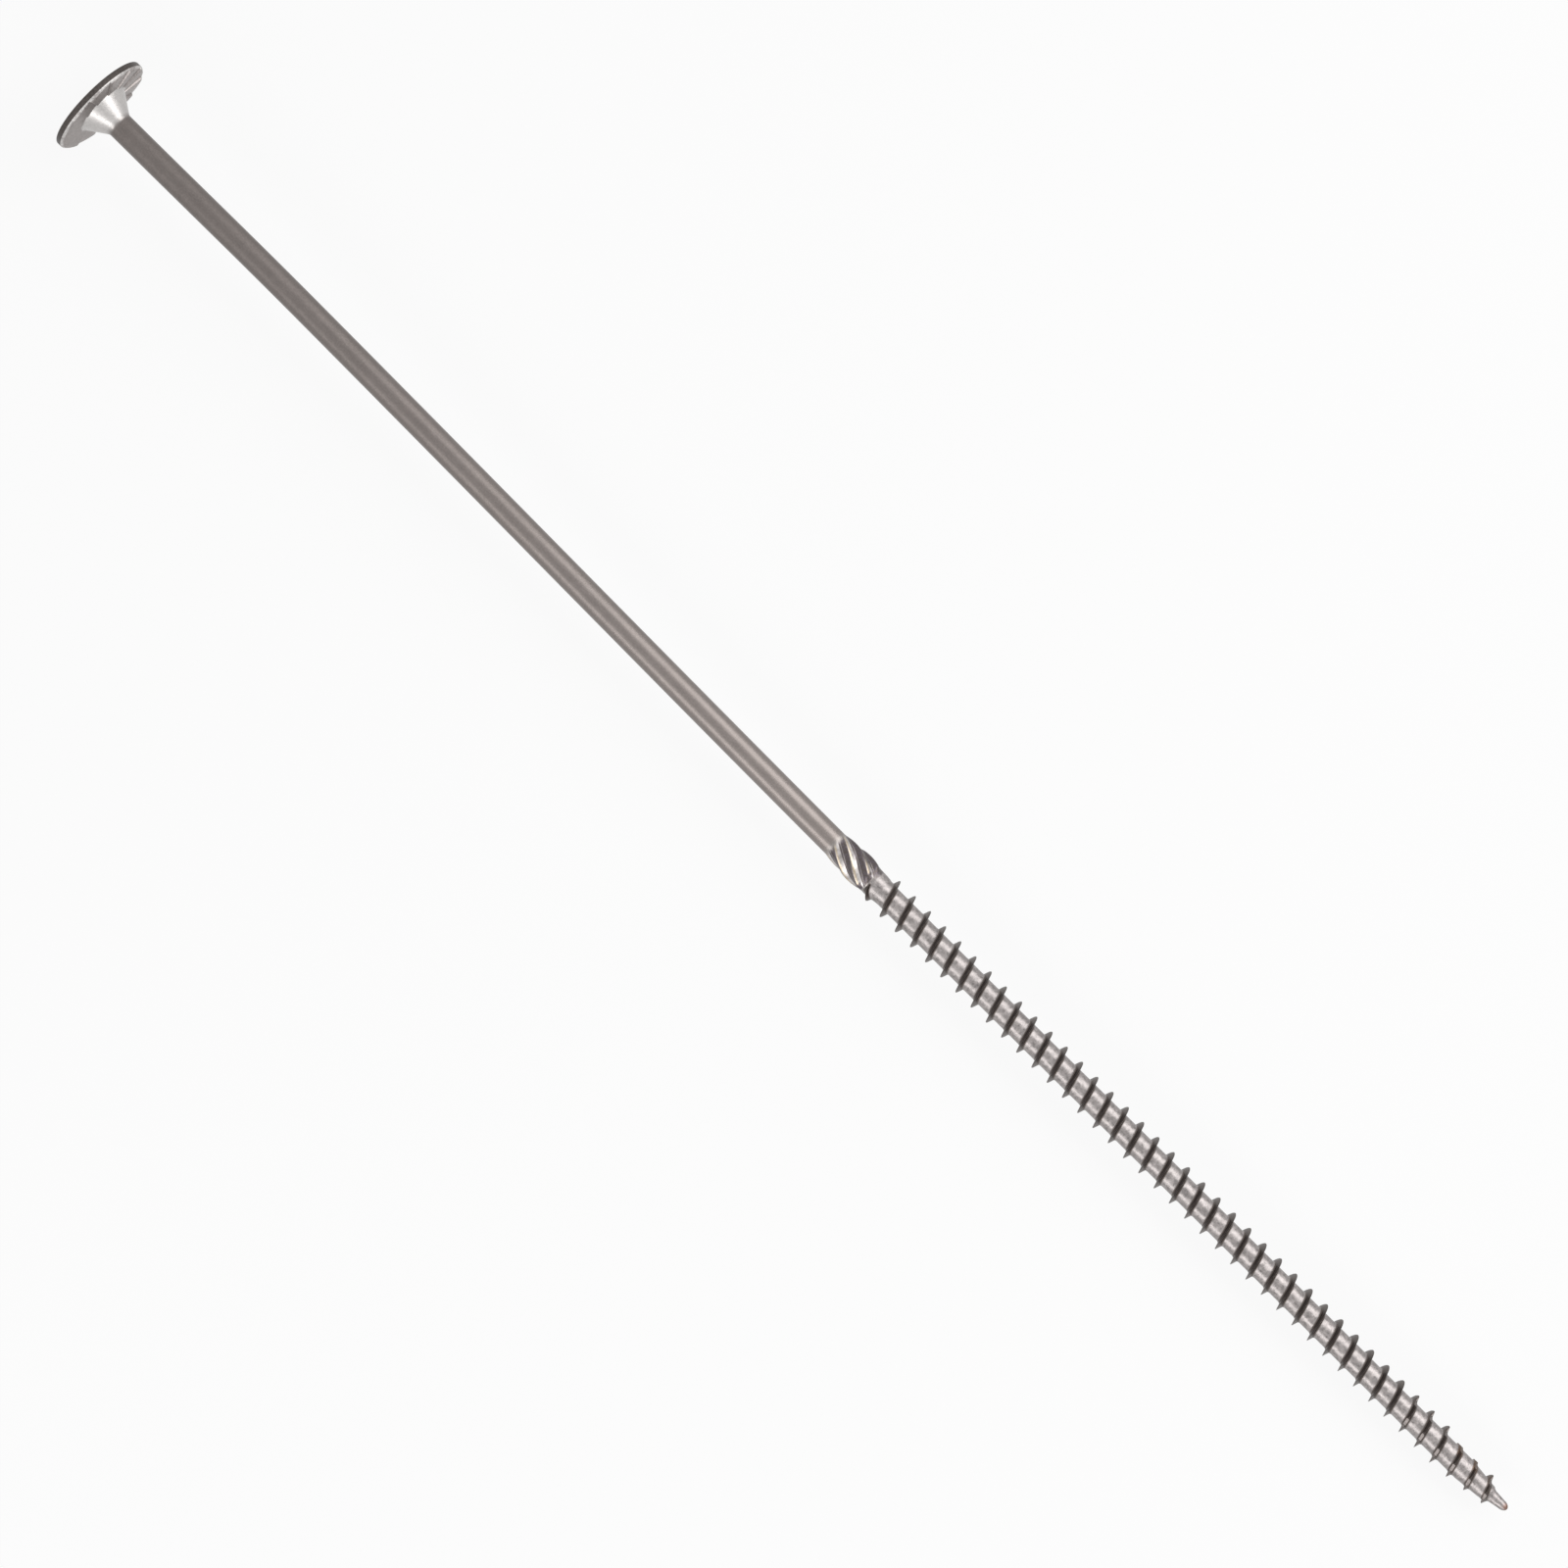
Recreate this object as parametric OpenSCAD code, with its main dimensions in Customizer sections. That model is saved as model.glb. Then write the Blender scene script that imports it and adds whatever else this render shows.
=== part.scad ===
// Long structural timber screw with a serrated flange head, lying on its rim and its thread.
// The head, shank, cutter and threaded end are drawn upright, with z = 0 on the crown of the head
// and z rising to the point, and one last module lays the finished screw down.

/* [Overall] */
// Length over all, from the crown of the head to the end of the point
length = 400; // [300:1:500]
// Length of the threaded end, with the point
thread_len = 178.5; // [120:0.5:220]
// Diameter of the plain shank
shank_d = 5.5; // [5.2:0.1:6]

/* [Head] */
// Diameter of the flange
head_d = 22.9; // [20:0.1:26]
// Height of the crown above the top edge of the rim
crown_h = 0.5; // [0.3:0.1:1]
// Diameter of the flat land in the middle of the crown
land_d = 12; // [10:0.5:15]
// Rounding of the rim at its top edge
rim_round = 0.25; // [0.1:0.05:0.4]
// Height of the rim's upright wall, with its rounding
rim_h = 1.3; // [0.8:0.1:1.6]
// Height from the rim's wall to the crests of the teeth under the head
seat_h = 0.65; // [0.5:0.05:0.9]
// Width of the bevel from the rim's wall to the crests of the teeth
seat_bevel = 0.55; // [0.3:0.05:1]
// Diameter of the conical neck where it leaves the crests of the teeth
neck_d = 11.6; // [10:0.2:13]
// Angle of the neck's side to the axis
neck_angle = 34; // [28:1:42]
// Radius that blends the neck into the shank
neck_fillet = 1.2; // [0.8:0.1:3]

/* [Teeth under the head] */
// Number of teeth
tooth_count = 12; // [8:1:16]
// Height of a tooth's upright face at the outer edge of the seat
tooth_h = 0.45; // [0.2:0.05:0.6]
// Angle taken by the level crest of a tooth
tooth_land = 4; // [2:1:8]
// Direction of the first tooth's upright face
tooth_turn = 5; // [0:1:30]

/* [Drive recess] */
// Largest diameter, across opposite lobes
drive_d = 6.75; // [5.6:0.05:7.9]
// Smallest diameter, across opposite hollows
drive_core_d = 4.85; // [4:0.05:5.5]
// Depth of the upright walls
drive_depth = 3.6; // [2.5:0.1:4]
// Width of the bevel at the mouth
drive_bevel = 0.3; // [0.1:0.05:0.5]
// Slope of the recess floor to the flat
drive_floor_angle = 15; // [5:1:25]

/* [Shank cutter] */
// Length of the cutter
cutter_len = 10.6; // [6:0.2:14]
// Diameter over the ridges
cutter_d = 6.8; // [6.3:0.1:7.4]
// Number of ridges
ridge_count = 6; // [4:1:8]
// Axial length in which a ridge would go once round
ridge_lead = 30.5; // [18:0.5:40]
// Direction of the first ridge where the cutter starts
ridge_turn = 4; // [0:0.5:60]
// Length over which the ridges rise from the shank
ridge_rise_len = 5.6; // [1:0.2:8]
// Length over which the ridges fall off towards the thread
ridge_end_len = 1; // [0.4:0.2:3]

/* [Thread] */
// Diameter over the thread
thread_d = 7.9; // [7.2:0.1:9]
// Diameter of the core between the turns
core_d = 4.95; // [4.5:0.05:5.2]
// Distance from turn to turn
thread_pitch = 4.31; // [3.6:0.01:5]
// Width of the thread ridge where it leaves the core
ridge_foot = 1.7; // [1.3:0.1:2.2]
// Width of the thread ridge where its straight flanks start
ridge_flank = 1; // [0.7:0.05:1.2]
// Height of the small hollow at the foot of the flanks
foot_h = 0.2; // [0.1:0.05:0.3]
// Diameter of the core just behind the cutter
behind_cutter_d = 5.8; // [5.5:0.05:6]
// Length over which the core comes down to its own diameter behind the cutter
behind_cutter_len = 3.5; // [2:0.5:6]
// Turns over which the thread rises behind the cutter
run_in_turns = 1.1; // [0.2:0.1:2]

/* [Point] */
// Length of the point over which the thread comes down
taper_len = 15.6; // [11:0.2:20]
// Length of the point over which the core comes down
core_taper_len = 11.4; // [8:0.2:14]
// Diameter of the core where it steps down to the pilot
core_end_d = 3.6; // [3.4:0.1:4]
// Length of the pilot in front of the thread
pilot_len = 4; // [2:0.2:5]
// Length of the step from the core down to the pilot
pilot_step_len = 0.6; // [0.3:0.1:1]
// Diameter of the pilot where it starts
pilot_d = 2.9; // [2.4:0.1:3.4]
// Diameter of the pilot where its end starts to round
pilot_end_d = 2.2; // [1.8:0.1:2.6]
// Length of the rounded end
nose_len = 1.5; // [0.8:0.1:2]
// Diameter of the last turn in front of the pilot
last_turn_d = 4.8; // [4:0.1:5.2]
// Turns over which the thread dies away at the pilot
run_out_turns = 0.3; // [0.2:0.1:0.5]

/* [Notched turns] */
// Length of the notched turns, from the end of the point
notched_len = 34; // [20:1:60]
// Depth of a notch as a share of the height of the thread
notch_depth = 0.3; // [0.1:0.05:0.5]
// Columns of the thread from notch to notch
notch_step = 4; // [4, 5]
// Length of the gash along the point that trims the turns on one side
gash_len = 8; // [4:0.5:12]
// Distance from the gash to the end of the point
gash_end = 8.5; // [6:0.5:12]
// Height of the trimmed turns over the axis
gash_h = 2.75; // [2.6:0.05:3.5]

/* [Hidden] */
round_sides = 96;
thread_sides = 20;
curve_steps = 6;
drive_steps = 12;
overlap = 0.2;
step_in = 0.05;

// Turn of the flange that sets a flat between two of its facets' edges towards the floor
flange_turn = 13;

head_r = head_d / 2;
shank_r = shank_d / 2;
land_r = land_d / 2;
neck_r = neck_d / 2;
thread_r = thread_d / 2;
core_r = core_d / 2;
rim_z = crown_h + rim_h;
seat_z = rim_z + seat_h;
seat_r = head_r - seat_bevel;
tooth_angle = 360 / tooth_count;
ramp_angle = tooth_angle - tooth_land;
tooth_slope = tooth_h / (seat_r * sin(ramp_angle));
neck_corner_z = seat_z + (neck_r - shank_r) / tan(neck_angle);
neck_end_z = neck_corner_z + neck_fillet * tan(neck_angle / 2);

thread_z = length - thread_len;
cutter_z = thread_z - cutter_len;
pilot_z = length - pilot_len;
step_z = pilot_z - pilot_step_len;
core_taper_z = length - core_taper_len;
taper_z = length - taper_len;
nose_z = length - nose_len;
notched_z = length - notched_len;
gash_z = length - gash_end - gash_len;

// The first crest starts away from the floor, one ridge foot past the cutter, and turned by half
// a column so that the middle between two columns faces the floor
first_turn_angle = 180 + 180 / thread_sides;
floor_turn = (360 - first_turn_angle) / 360;
first_crest_z = thread_z + ridge_foot / 2 + step_in;
last_crest_z = nose_z - ridge_foot / 2 - step_in;
columns = floor((last_crest_z - first_crest_z) / thread_pitch * thread_sides);

// The screw rests on the rim and on the last full turn, midway between two columns
rest_turns = floor((taper_z - first_crest_z) / thread_pitch - floor_turn) + floor_turn;
rest_z = first_crest_z + rest_turns * thread_pitch;
rest_r = thread_r * cos(180 / thread_sides);
rest_tilt = atan((head_r - rest_r) / (rest_z - rim_z));
rest_lift = head_r * cos(rest_tilt) + rim_z * sin(rest_tilt);
rest_shift = (land_r * sin(rest_tilt) - length * cos(rest_tilt)) / 2;

// Value between a and b at share t of the way, held at the two ends
function blend(a, b, t) = a + (b - a) * max(0, min(1, t));

function on_circle(r, angle, z) = [r * cos(angle), r * sin(angle), z];

// Outline of the flange: crown, rounded top edge, rim wall, bevel, level seat
function crown_curve() = [
    for (i = [0:curve_steps])
        let (t = i / curve_steps)
        [blend(land_r, head_r - rim_round, t), crown_h * t * t]
];

function rim_curve() = [
    for (i = [1:curve_steps])
        let (a = 90 * i / curve_steps)
        [head_r - rim_round * (1 - sin(a)), crown_h + rim_round * (1 - cos(a))]
];

module flange() {
    rotate([0, 0, flange_turn])
        rotate_extrude($fn = round_sides)
            polygon(concat(
                [[0, 0]],
                crown_curve(),
                rim_curve(),
                [[head_r, rim_z], [seat_r, seat_z], [0, seat_z]]
            ));
}

// Everything above one tooth's ramp, which rises from an upright face to the level crest
module tooth_gap() {
    reach = head_r + overlap;
    past = overlap;
    intersection() {
        translate([0, 0, rim_z - seat_h])
            linear_extrude(height = 3 * seat_h)
                polygon([
                    [0, 0],
                    [reach, 0],
                    [reach, reach * tan(tooth_angle / 2)],
                    [reach * cos(tooth_angle), reach * sin(tooth_angle)]
                ]);
        rotate([0, 0, ramp_angle])
            rotate([90, 0, 90])
                linear_extrude(height = reach)
                    polygon([
                        [-reach, seat_z - reach * tooth_slope],
                        [past, seat_z + past * tooth_slope],
                        [past, seat_z + seat_h],
                        [-reach, seat_z + seat_h]
                    ]);
    }
}

// Conical neck, started inside the flange so that it also fills the ramps' inner ends
module neck() {
    start_z = rim_z - overlap;
    start_r = neck_r + (seat_z - start_z) * tan(neck_angle);
    blend_curve = [
        for (i = [0:curve_steps])
            let (a = neck_angle * (1 - i / curve_steps))
            [shank_r + neck_fillet * (1 - cos(a)), neck_end_z - neck_fillet * sin(a)]
    ];
    rotate_extrude($fn = round_sides)
        polygon(concat([[0, start_z], [start_r, start_z]], blend_curve, [[0, neck_end_z]]));
}

// Six rounded lobes: the radius swings once from lobe to hollow in every sixth of a turn
function lobed_outline() = [
    for (i = [0:6 * drive_steps - 1])
        let (a = i * 60 / drive_steps)
        let (r = (drive_d + drive_core_d) / 4 + (drive_d - drive_core_d) / 4 * cos(6 * a))
        [r * cos(a), r * sin(a)]
];

module drive_recess() {
    mouth_r = drive_d / 2 + drive_bevel;
    floor_r = drive_core_d / 2 - step_in;
    translate([0, 0, -overlap])
        linear_extrude(height = drive_depth + overlap)
            polygon(lobed_outline());
    translate([0, 0, -overlap])
        cylinder(
            h = 2 * drive_bevel + overlap,
            r1 = mouth_r + overlap,
            r2 = mouth_r - 2 * drive_bevel,
            $fn = round_sides
        );
    translate([0, 0, drive_depth - overlap])
        cylinder(h = overlap, r = floor_r, $fn = round_sides);
    translate([0, 0, drive_depth])
        cylinder(h = floor_r * tan(drive_floor_angle), r1 = floor_r, r2 = 0, $fn = round_sides);
}

module head() {
    color("darkgray")
        difference() {
            union() {
                difference() {
                    flange();
                    for (i = [0:tooth_count - 1])
                        rotate([0, 0, tooth_turn + i * tooth_angle])
                            tooth_gap();
                }
                neck();
            }
            drive_recess();
        }
}

module shank() {
    color("dimgray")
        translate([0, 0, neck_end_z])
            cylinder(h = cutter_z - neck_end_z, r = shank_r, $fn = round_sides);
}

// Faces between two rings of n points, the second ring nearer the point of the screw
function ring_faces(first, second, n) = [
    for (i = [0:n - 1])
        let (next = (i + 1) % n)
        each [
            [first + i, second + i, second + next],
            [first + i, second + next, first + next]
        ]
];

// Shank cutter: rings that turn with the lead, started just inside the end of the shank
cutter_rings = 16;
ridge_shape = [1, 0.75, 0.15, 0, 0.15, 0.75];
ridge_points = len(ridge_shape);
ring_points = ridge_count * ridge_points;

function cutter_ring(z) =
    let (
        share = (z - cutter_z) / cutter_len,
        body_r = blend(shank_r - step_in, behind_cutter_d / 2 + step_in, share),
        rise = max(0, min(1, (z - cutter_z) / ridge_rise_len, (thread_z - z) / ridge_end_len)),
        turn = ridge_turn + 360 * (z - cutter_z) / ridge_lead
    )
    [
        for (i = [0:ring_points - 1])
            let (ridge = (cutter_d / 2 - body_r) * rise * ridge_shape[i % ridge_points])
            on_circle(body_r + ridge, turn + 360 * i / ring_points, z)
    ];

module cutter() {
    start_z = cutter_z - overlap;
    ring_gap = (thread_z - start_z) / cutter_rings;
    points = [for (k = [0:cutter_rings]) each cutter_ring(start_z + k * ring_gap)];
    sides = [
        for (k = [0:cutter_rings - 1])
            each ring_faces(k * ring_points, (k + 1) * ring_points, ring_points)
    ];
    start_cap = [for (i = [0:ring_points - 1]) i];
    end_cap = [for (i = [ring_points - 1:-1:0]) cutter_rings * ring_points + i];
    color("silver")
        polyhedron(points = points, faces = concat([start_cap], sides, [end_cap]));
}

// Core radius at height z: behind the cutter, along the thread, down the point, on the pilot
function core_radius(z) =
    z < core_taper_z ? blend(behind_cutter_d / 2 - step_in, core_r, (z - thread_z) / behind_cutter_len) :
    z < step_z ? blend(core_r, core_end_d / 2, (z - core_taper_z) / (step_z - core_taper_z)) :
    z < pilot_z ? blend(core_end_d / 2, pilot_d / 2, (z - step_z) / pilot_step_len) :
    z < nose_z ? blend(pilot_d / 2, pilot_end_d / 2, (z - pilot_z) / (nose_z - pilot_z)) :
    pilot_end_d / 2 * sqrt(max(0, 1 - pow((z - nose_z) / nose_len, 2)));

function crest_radius(z) = blend(thread_r, last_turn_d / 2, (z - taper_z) / (pilot_z - taper_z));

// One column of the thread is one pitch tall, and the next turn's column stands on it
profile_z = [-ridge_foot / 2, -ridge_flank / 2, 0, ridge_flank / 2, ridge_foot / 2];
profile_len = len(profile_z);

function column_angle(i) = first_turn_angle + 360 * i / thread_sides;

function column_z(i) = first_crest_z + thread_pitch * i / thread_sides;

// No notch falls on the two columns next to the floor
function is_notch(i) = (i + thread_sides / 2 + 1) % thread_sides % notch_step == notch_step - 1;

function notch(i) = column_z(i) > notched_z && is_notch(i) ? 1 - notch_depth : 1;

function ridge_height(i) =
    let (
        z = column_z(i),
        run_in = sqrt(i / (run_in_turns * thread_sides)),
        run_out = (columns - i) / (run_out_turns * thread_sides)
    )
    (crest_radius(z) - core_radius(z)) * notch(i) * max(0, min(1, run_in, run_out));

// The gash is a flat facing +y that trims the crests down to one height
function trimmed(r, angle, z) =
    z < gash_z || z > gash_z + gash_len || sin(angle) < 0.5 ? r : min(r, gash_h / sin(angle));

function thread_point(i, j) =
    let (
        z = column_z(i) + profile_z[j],
        full = ridge_height(i),
        rise = [0, min(foot_h, full / 2), full, min(foot_h, full / 2), 0][j],
        r = core_radius(z) + rise
    )
    on_circle(trimmed(r, column_angle(i), z), column_angle(i), z);

// Index of point j in column i, where one point too many is the first of the next turn
function at(i, j) = j < profile_len ? profile_len * i + j : profile_len * (i + thread_sides);

module threaded_end() {
    base = profile_len * (columns + 1);
    tip = base + thread_sides;
    nose_rings = 5;
    end = tip + nose_rings * thread_sides;
    last = columns - thread_sides;
    top = profile_len - 1;
    thread_points = [for (i = [0:columns]) for (j = [0:top]) thread_point(i, j)];
    base_points = [
        for (i = [0:thread_sides - 1]) on_circle(core_radius(thread_z), column_angle(i), thread_z)
    ];
    nose_points = [
        for (k = [0:nose_rings - 1])
            let (z = nose_z + nose_len * sin(90 * k / nose_rings))
            for (i = [0:thread_sides - 1])
                on_circle(core_radius(z), column_angle(last + i), z)
    ];
    helix_faces = [
        for (i = [0:columns - 1])
            for (j = [0:(i < last ? top : top - 1)])
                each [
                    [at(i, j), at(i, j + 1), at(i + 1, j + 1)],
                    [at(i, j), at(i + 1, j + 1), at(i + 1, j)]
                ]
    ];
    base_side = [
        for (i = [0:thread_sides - 2])
            each [
                [base + i, at(i, 0), at(i + 1, 0)],
                [base + i, at(i + 1, 0), base + i + 1]
            ]
    ];
    before = at(thread_sides - 1, 0);
    base_seam = concat(
        [[base + thread_sides - 1, before, base]],
        [[before, at(0, 0), base]],
        [for (j = [0:top]) [before, at(0, j + 1), at(0, j)]]
    );
    tip_side = [
        for (i = [1:thread_sides - 1])
            let (next = (i + 1) % thread_sides)
            each [
                [at(last + i, top), tip + i, tip + next],
                [at(last + i, top), tip + next, at(last + i + 1, top)]
            ]
    ];
    after = at(last + 1, top);
    tip_seam = concat(
        [[at(last, top), at(columns, 0), after]],
        [for (j = [0:top - 1]) [at(columns, j), at(columns, j + 1), after]],
        [[at(columns, top), tip, after]],
        [[after, tip, tip + 1]]
    );
    nose_side = [
        for (k = [0:nose_rings - 2])
            each ring_faces(tip + k * thread_sides, tip + (k + 1) * thread_sides, thread_sides)
    ];
    last_ring = tip + (nose_rings - 1) * thread_sides;
    nose_end = [
        for (i = [0:thread_sides - 1]) [last_ring + i, end, last_ring + (i + 1) % thread_sides]
    ];
    base_cap = [for (i = [0:thread_sides - 1]) base + i];
    color("lightgray")
        polyhedron(
            points = concat(thread_points, base_points, nose_points, [[0, 0, length]]),
            faces = concat(
                [base_cap], base_side, base_seam, helix_faces, tip_seam, tip_side, nose_side, nose_end
            )
        );
}

module screw() {
    translate([rest_shift, 0, rest_lift])
        rotate([0, 90 + rest_tilt, 0])
            union() {
                head();
                shank();
                cutter();
                threaded_end();
            }
}

screw();
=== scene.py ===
import logging
import math
from dataclasses import dataclass, field
from enum import Enum
from typing import Callable, Iterable, Sequence

import bmesh
import bpy
from mathutils import Matrix, Vector


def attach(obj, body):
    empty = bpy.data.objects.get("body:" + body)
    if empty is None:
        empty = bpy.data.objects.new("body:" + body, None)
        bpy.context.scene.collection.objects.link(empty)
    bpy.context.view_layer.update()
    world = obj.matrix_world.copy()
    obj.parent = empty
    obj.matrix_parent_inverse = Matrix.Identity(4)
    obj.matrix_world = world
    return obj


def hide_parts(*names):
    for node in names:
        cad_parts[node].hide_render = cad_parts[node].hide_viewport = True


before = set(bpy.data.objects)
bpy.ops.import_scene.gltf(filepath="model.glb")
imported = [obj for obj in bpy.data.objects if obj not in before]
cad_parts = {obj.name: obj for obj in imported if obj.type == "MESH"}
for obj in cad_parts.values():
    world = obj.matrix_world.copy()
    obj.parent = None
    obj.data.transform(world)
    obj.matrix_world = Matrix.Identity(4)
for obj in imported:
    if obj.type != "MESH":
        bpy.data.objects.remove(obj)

# The screw is one piece of steel. Its parts are built in the screw's own frame, in millimetres,
# with the crown of the head at z = 0 and the point at the far end, and are joined into one
# closed skin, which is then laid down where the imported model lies.

log = logging.getLogger("structural_screw")

MM = 0.001
FULL_TURN = 2 * math.pi
PIECE_NAME = "screw_steel"
MERGE_GAP = 0.002
RIDGE_LAYER = "ridge"
FLANK_LAYER = "flank"
WHITE = (1.0, 1.0, 1.0, 1.0)


def ring_points(radius: float, height: float, angles: Iterable[float]) -> list[Vector]:
    """Points on a level circle.

    Args:
        radius: the circle's radius.
        height: its place along the axis.
        angles: the direction of each point, in radians.

    Returns:
        The points, in the order of the angles.
    """
    return [Vector((radius * math.cos(a), radius * math.sin(a), height)) for a in angles]


def even_angles(count: int, start: float = 0.0) -> list[float]:
    """Directions that share a full turn evenly, in radians."""
    return [start + FULL_TURN * i / count for i in range(count)]


def show(name: str, data: bpy.types.ID) -> bpy.types.Object:
    """Adds an object with its mesh, lamp or lens to the scene."""
    thing = bpy.data.objects.new(name, data)
    bpy.context.scene.collection.objects.link(thing)
    return thing


class Blend(Enum):
    """How a value runs between the two ends of a range."""

    STRAIGHT = "LINEAR"
    SMOOTH = "SMOOTHSTEP"


class Value:
    """A number socket of a node tree, with operators that add Math nodes."""

    def __init__(self, nodes: "Nodes", socket: bpy.types.NodeSocket) -> None:
        """Wraps one output socket of the tree that nodes fills."""
        self.nodes = nodes
        self.socket = socket

    def _math(self, operation: str, *terms: "Value | float") -> "Value":
        """Adds a Math node on the terms and returns its output."""
        inputs = dict(enumerate(terms))
        return self.nodes.add("ShaderNodeMath", {"operation": operation}, inputs).value()

    def __add__(self, other: "Value | float") -> "Value":
        """Sum."""
        return self._math("ADD", self, other)

    def __radd__(self, other: float) -> "Value":
        """Sum with the number first."""
        return self._math("ADD", other, self)

    def __sub__(self, other: "Value | float") -> "Value":
        """Difference."""
        return self._math("SUBTRACT", self, other)

    def __rsub__(self, other: float) -> "Value":
        """Difference with the number first."""
        return self._math("SUBTRACT", other, self)

    def __mul__(self, other: "Value | float") -> "Value":
        """Product."""
        return self._math("MULTIPLY", self, other)

    def __rmul__(self, other: float) -> "Value":
        """Product with the number first."""
        return self._math("MULTIPLY", other, self)

    def __truediv__(self, other: "Value | float") -> "Value":
        """Quotient."""
        return self._math("DIVIDE", self, other)

    def __rtruediv__(self, other: float) -> "Value":
        """Quotient with the number first."""
        return self._math("DIVIDE", other, self)

    def __mod__(self, other: "Value | float") -> "Value":
        """Remainder, never below zero."""
        return self._math("FLOORED_MODULO", self, other)

    def __gt__(self, other: "Value | float") -> "Value":
        """1 where this is greater, else 0."""
        return self._math("GREATER_THAN", self, other)

    def __lt__(self, other: "Value | float") -> "Value":
        """1 where this is less, else 0."""
        return self._math("LESS_THAN", self, other)

    def sin(self) -> "Value":
        """Sine."""
        return self._math("SINE", self)

    def cos(self) -> "Value":
        """Cosine."""
        return self._math("COSINE", self)

    def root(self) -> "Value":
        """Square root."""
        return self._math("SQRT", self)

    def floor(self) -> "Value":
        """Whole number at or below."""
        return self._math("FLOOR", self)

    def size(self) -> "Value":
        """Value without its sign."""
        return self._math("ABSOLUTE", self)

    def least(self, other: "Value | float") -> "Value":
        """The smaller of the two."""
        return self._math("MINIMUM", self, other)

    def most(self, other: "Value | float") -> "Value":
        """The larger of the two."""
        return self._math("MAXIMUM", self, other)

    def ramp(
        self,
        low: float,
        high: float,
        start: "Value | float" = 0.0,
        end: "Value | float" = 1.0,
        blend: Blend = Blend.SMOOTH,
    ) -> "Value":
        """Runs from start to end while this goes from low to high.

        Args:
            low: where the result is start.
            high: where the result is end.
            start: the result up to low.
            end: the result from high on.
            blend: the way between them.

        Returns:
            The held result.
        """
        inputs = {"Value": self, "From Min": low, "From Max": high}
        inputs.update({"To Min": start, "To Max": end})
        settings = {"interpolation_type": blend.value, "clamp": True}
        return self.nodes.add("ShaderNodeMapRange", settings, inputs).value()

    def fall(self, low: float, high: float, blend: Blend = Blend.SMOOTH) -> "Value":
        """Runs from 1 down to 0 while this goes from low to high."""
        return self.ramp(low, high, 1.0, 0.0, blend)

    def within(
        self, low: float, full: float, last: float, high: float, blend: Blend = Blend.SMOOTH
    ) -> "Value":
        """A band: 0 up to low, 1 from full to last, and 0 again from high on."""
        return self.ramp(low, full, blend=blend) * self.fall(last, high, blend)


class Node:
    """A node that was added, with short ways to its outputs."""

    def __init__(self, nodes: "Nodes", node: bpy.types.Node) -> None:
        """Wraps one node of the tree that nodes fills."""
        self.nodes = nodes
        self.node = node

    def value(self, name: str | int = 0) -> Value:
        """The named or numbered output as a Value."""
        return Value(self.nodes, self.node.outputs[name])

    def out(self, name: str | int = 0) -> bpy.types.NodeSocket:
        """The named or numbered output socket itself."""
        return self.node.outputs[name]


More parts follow.
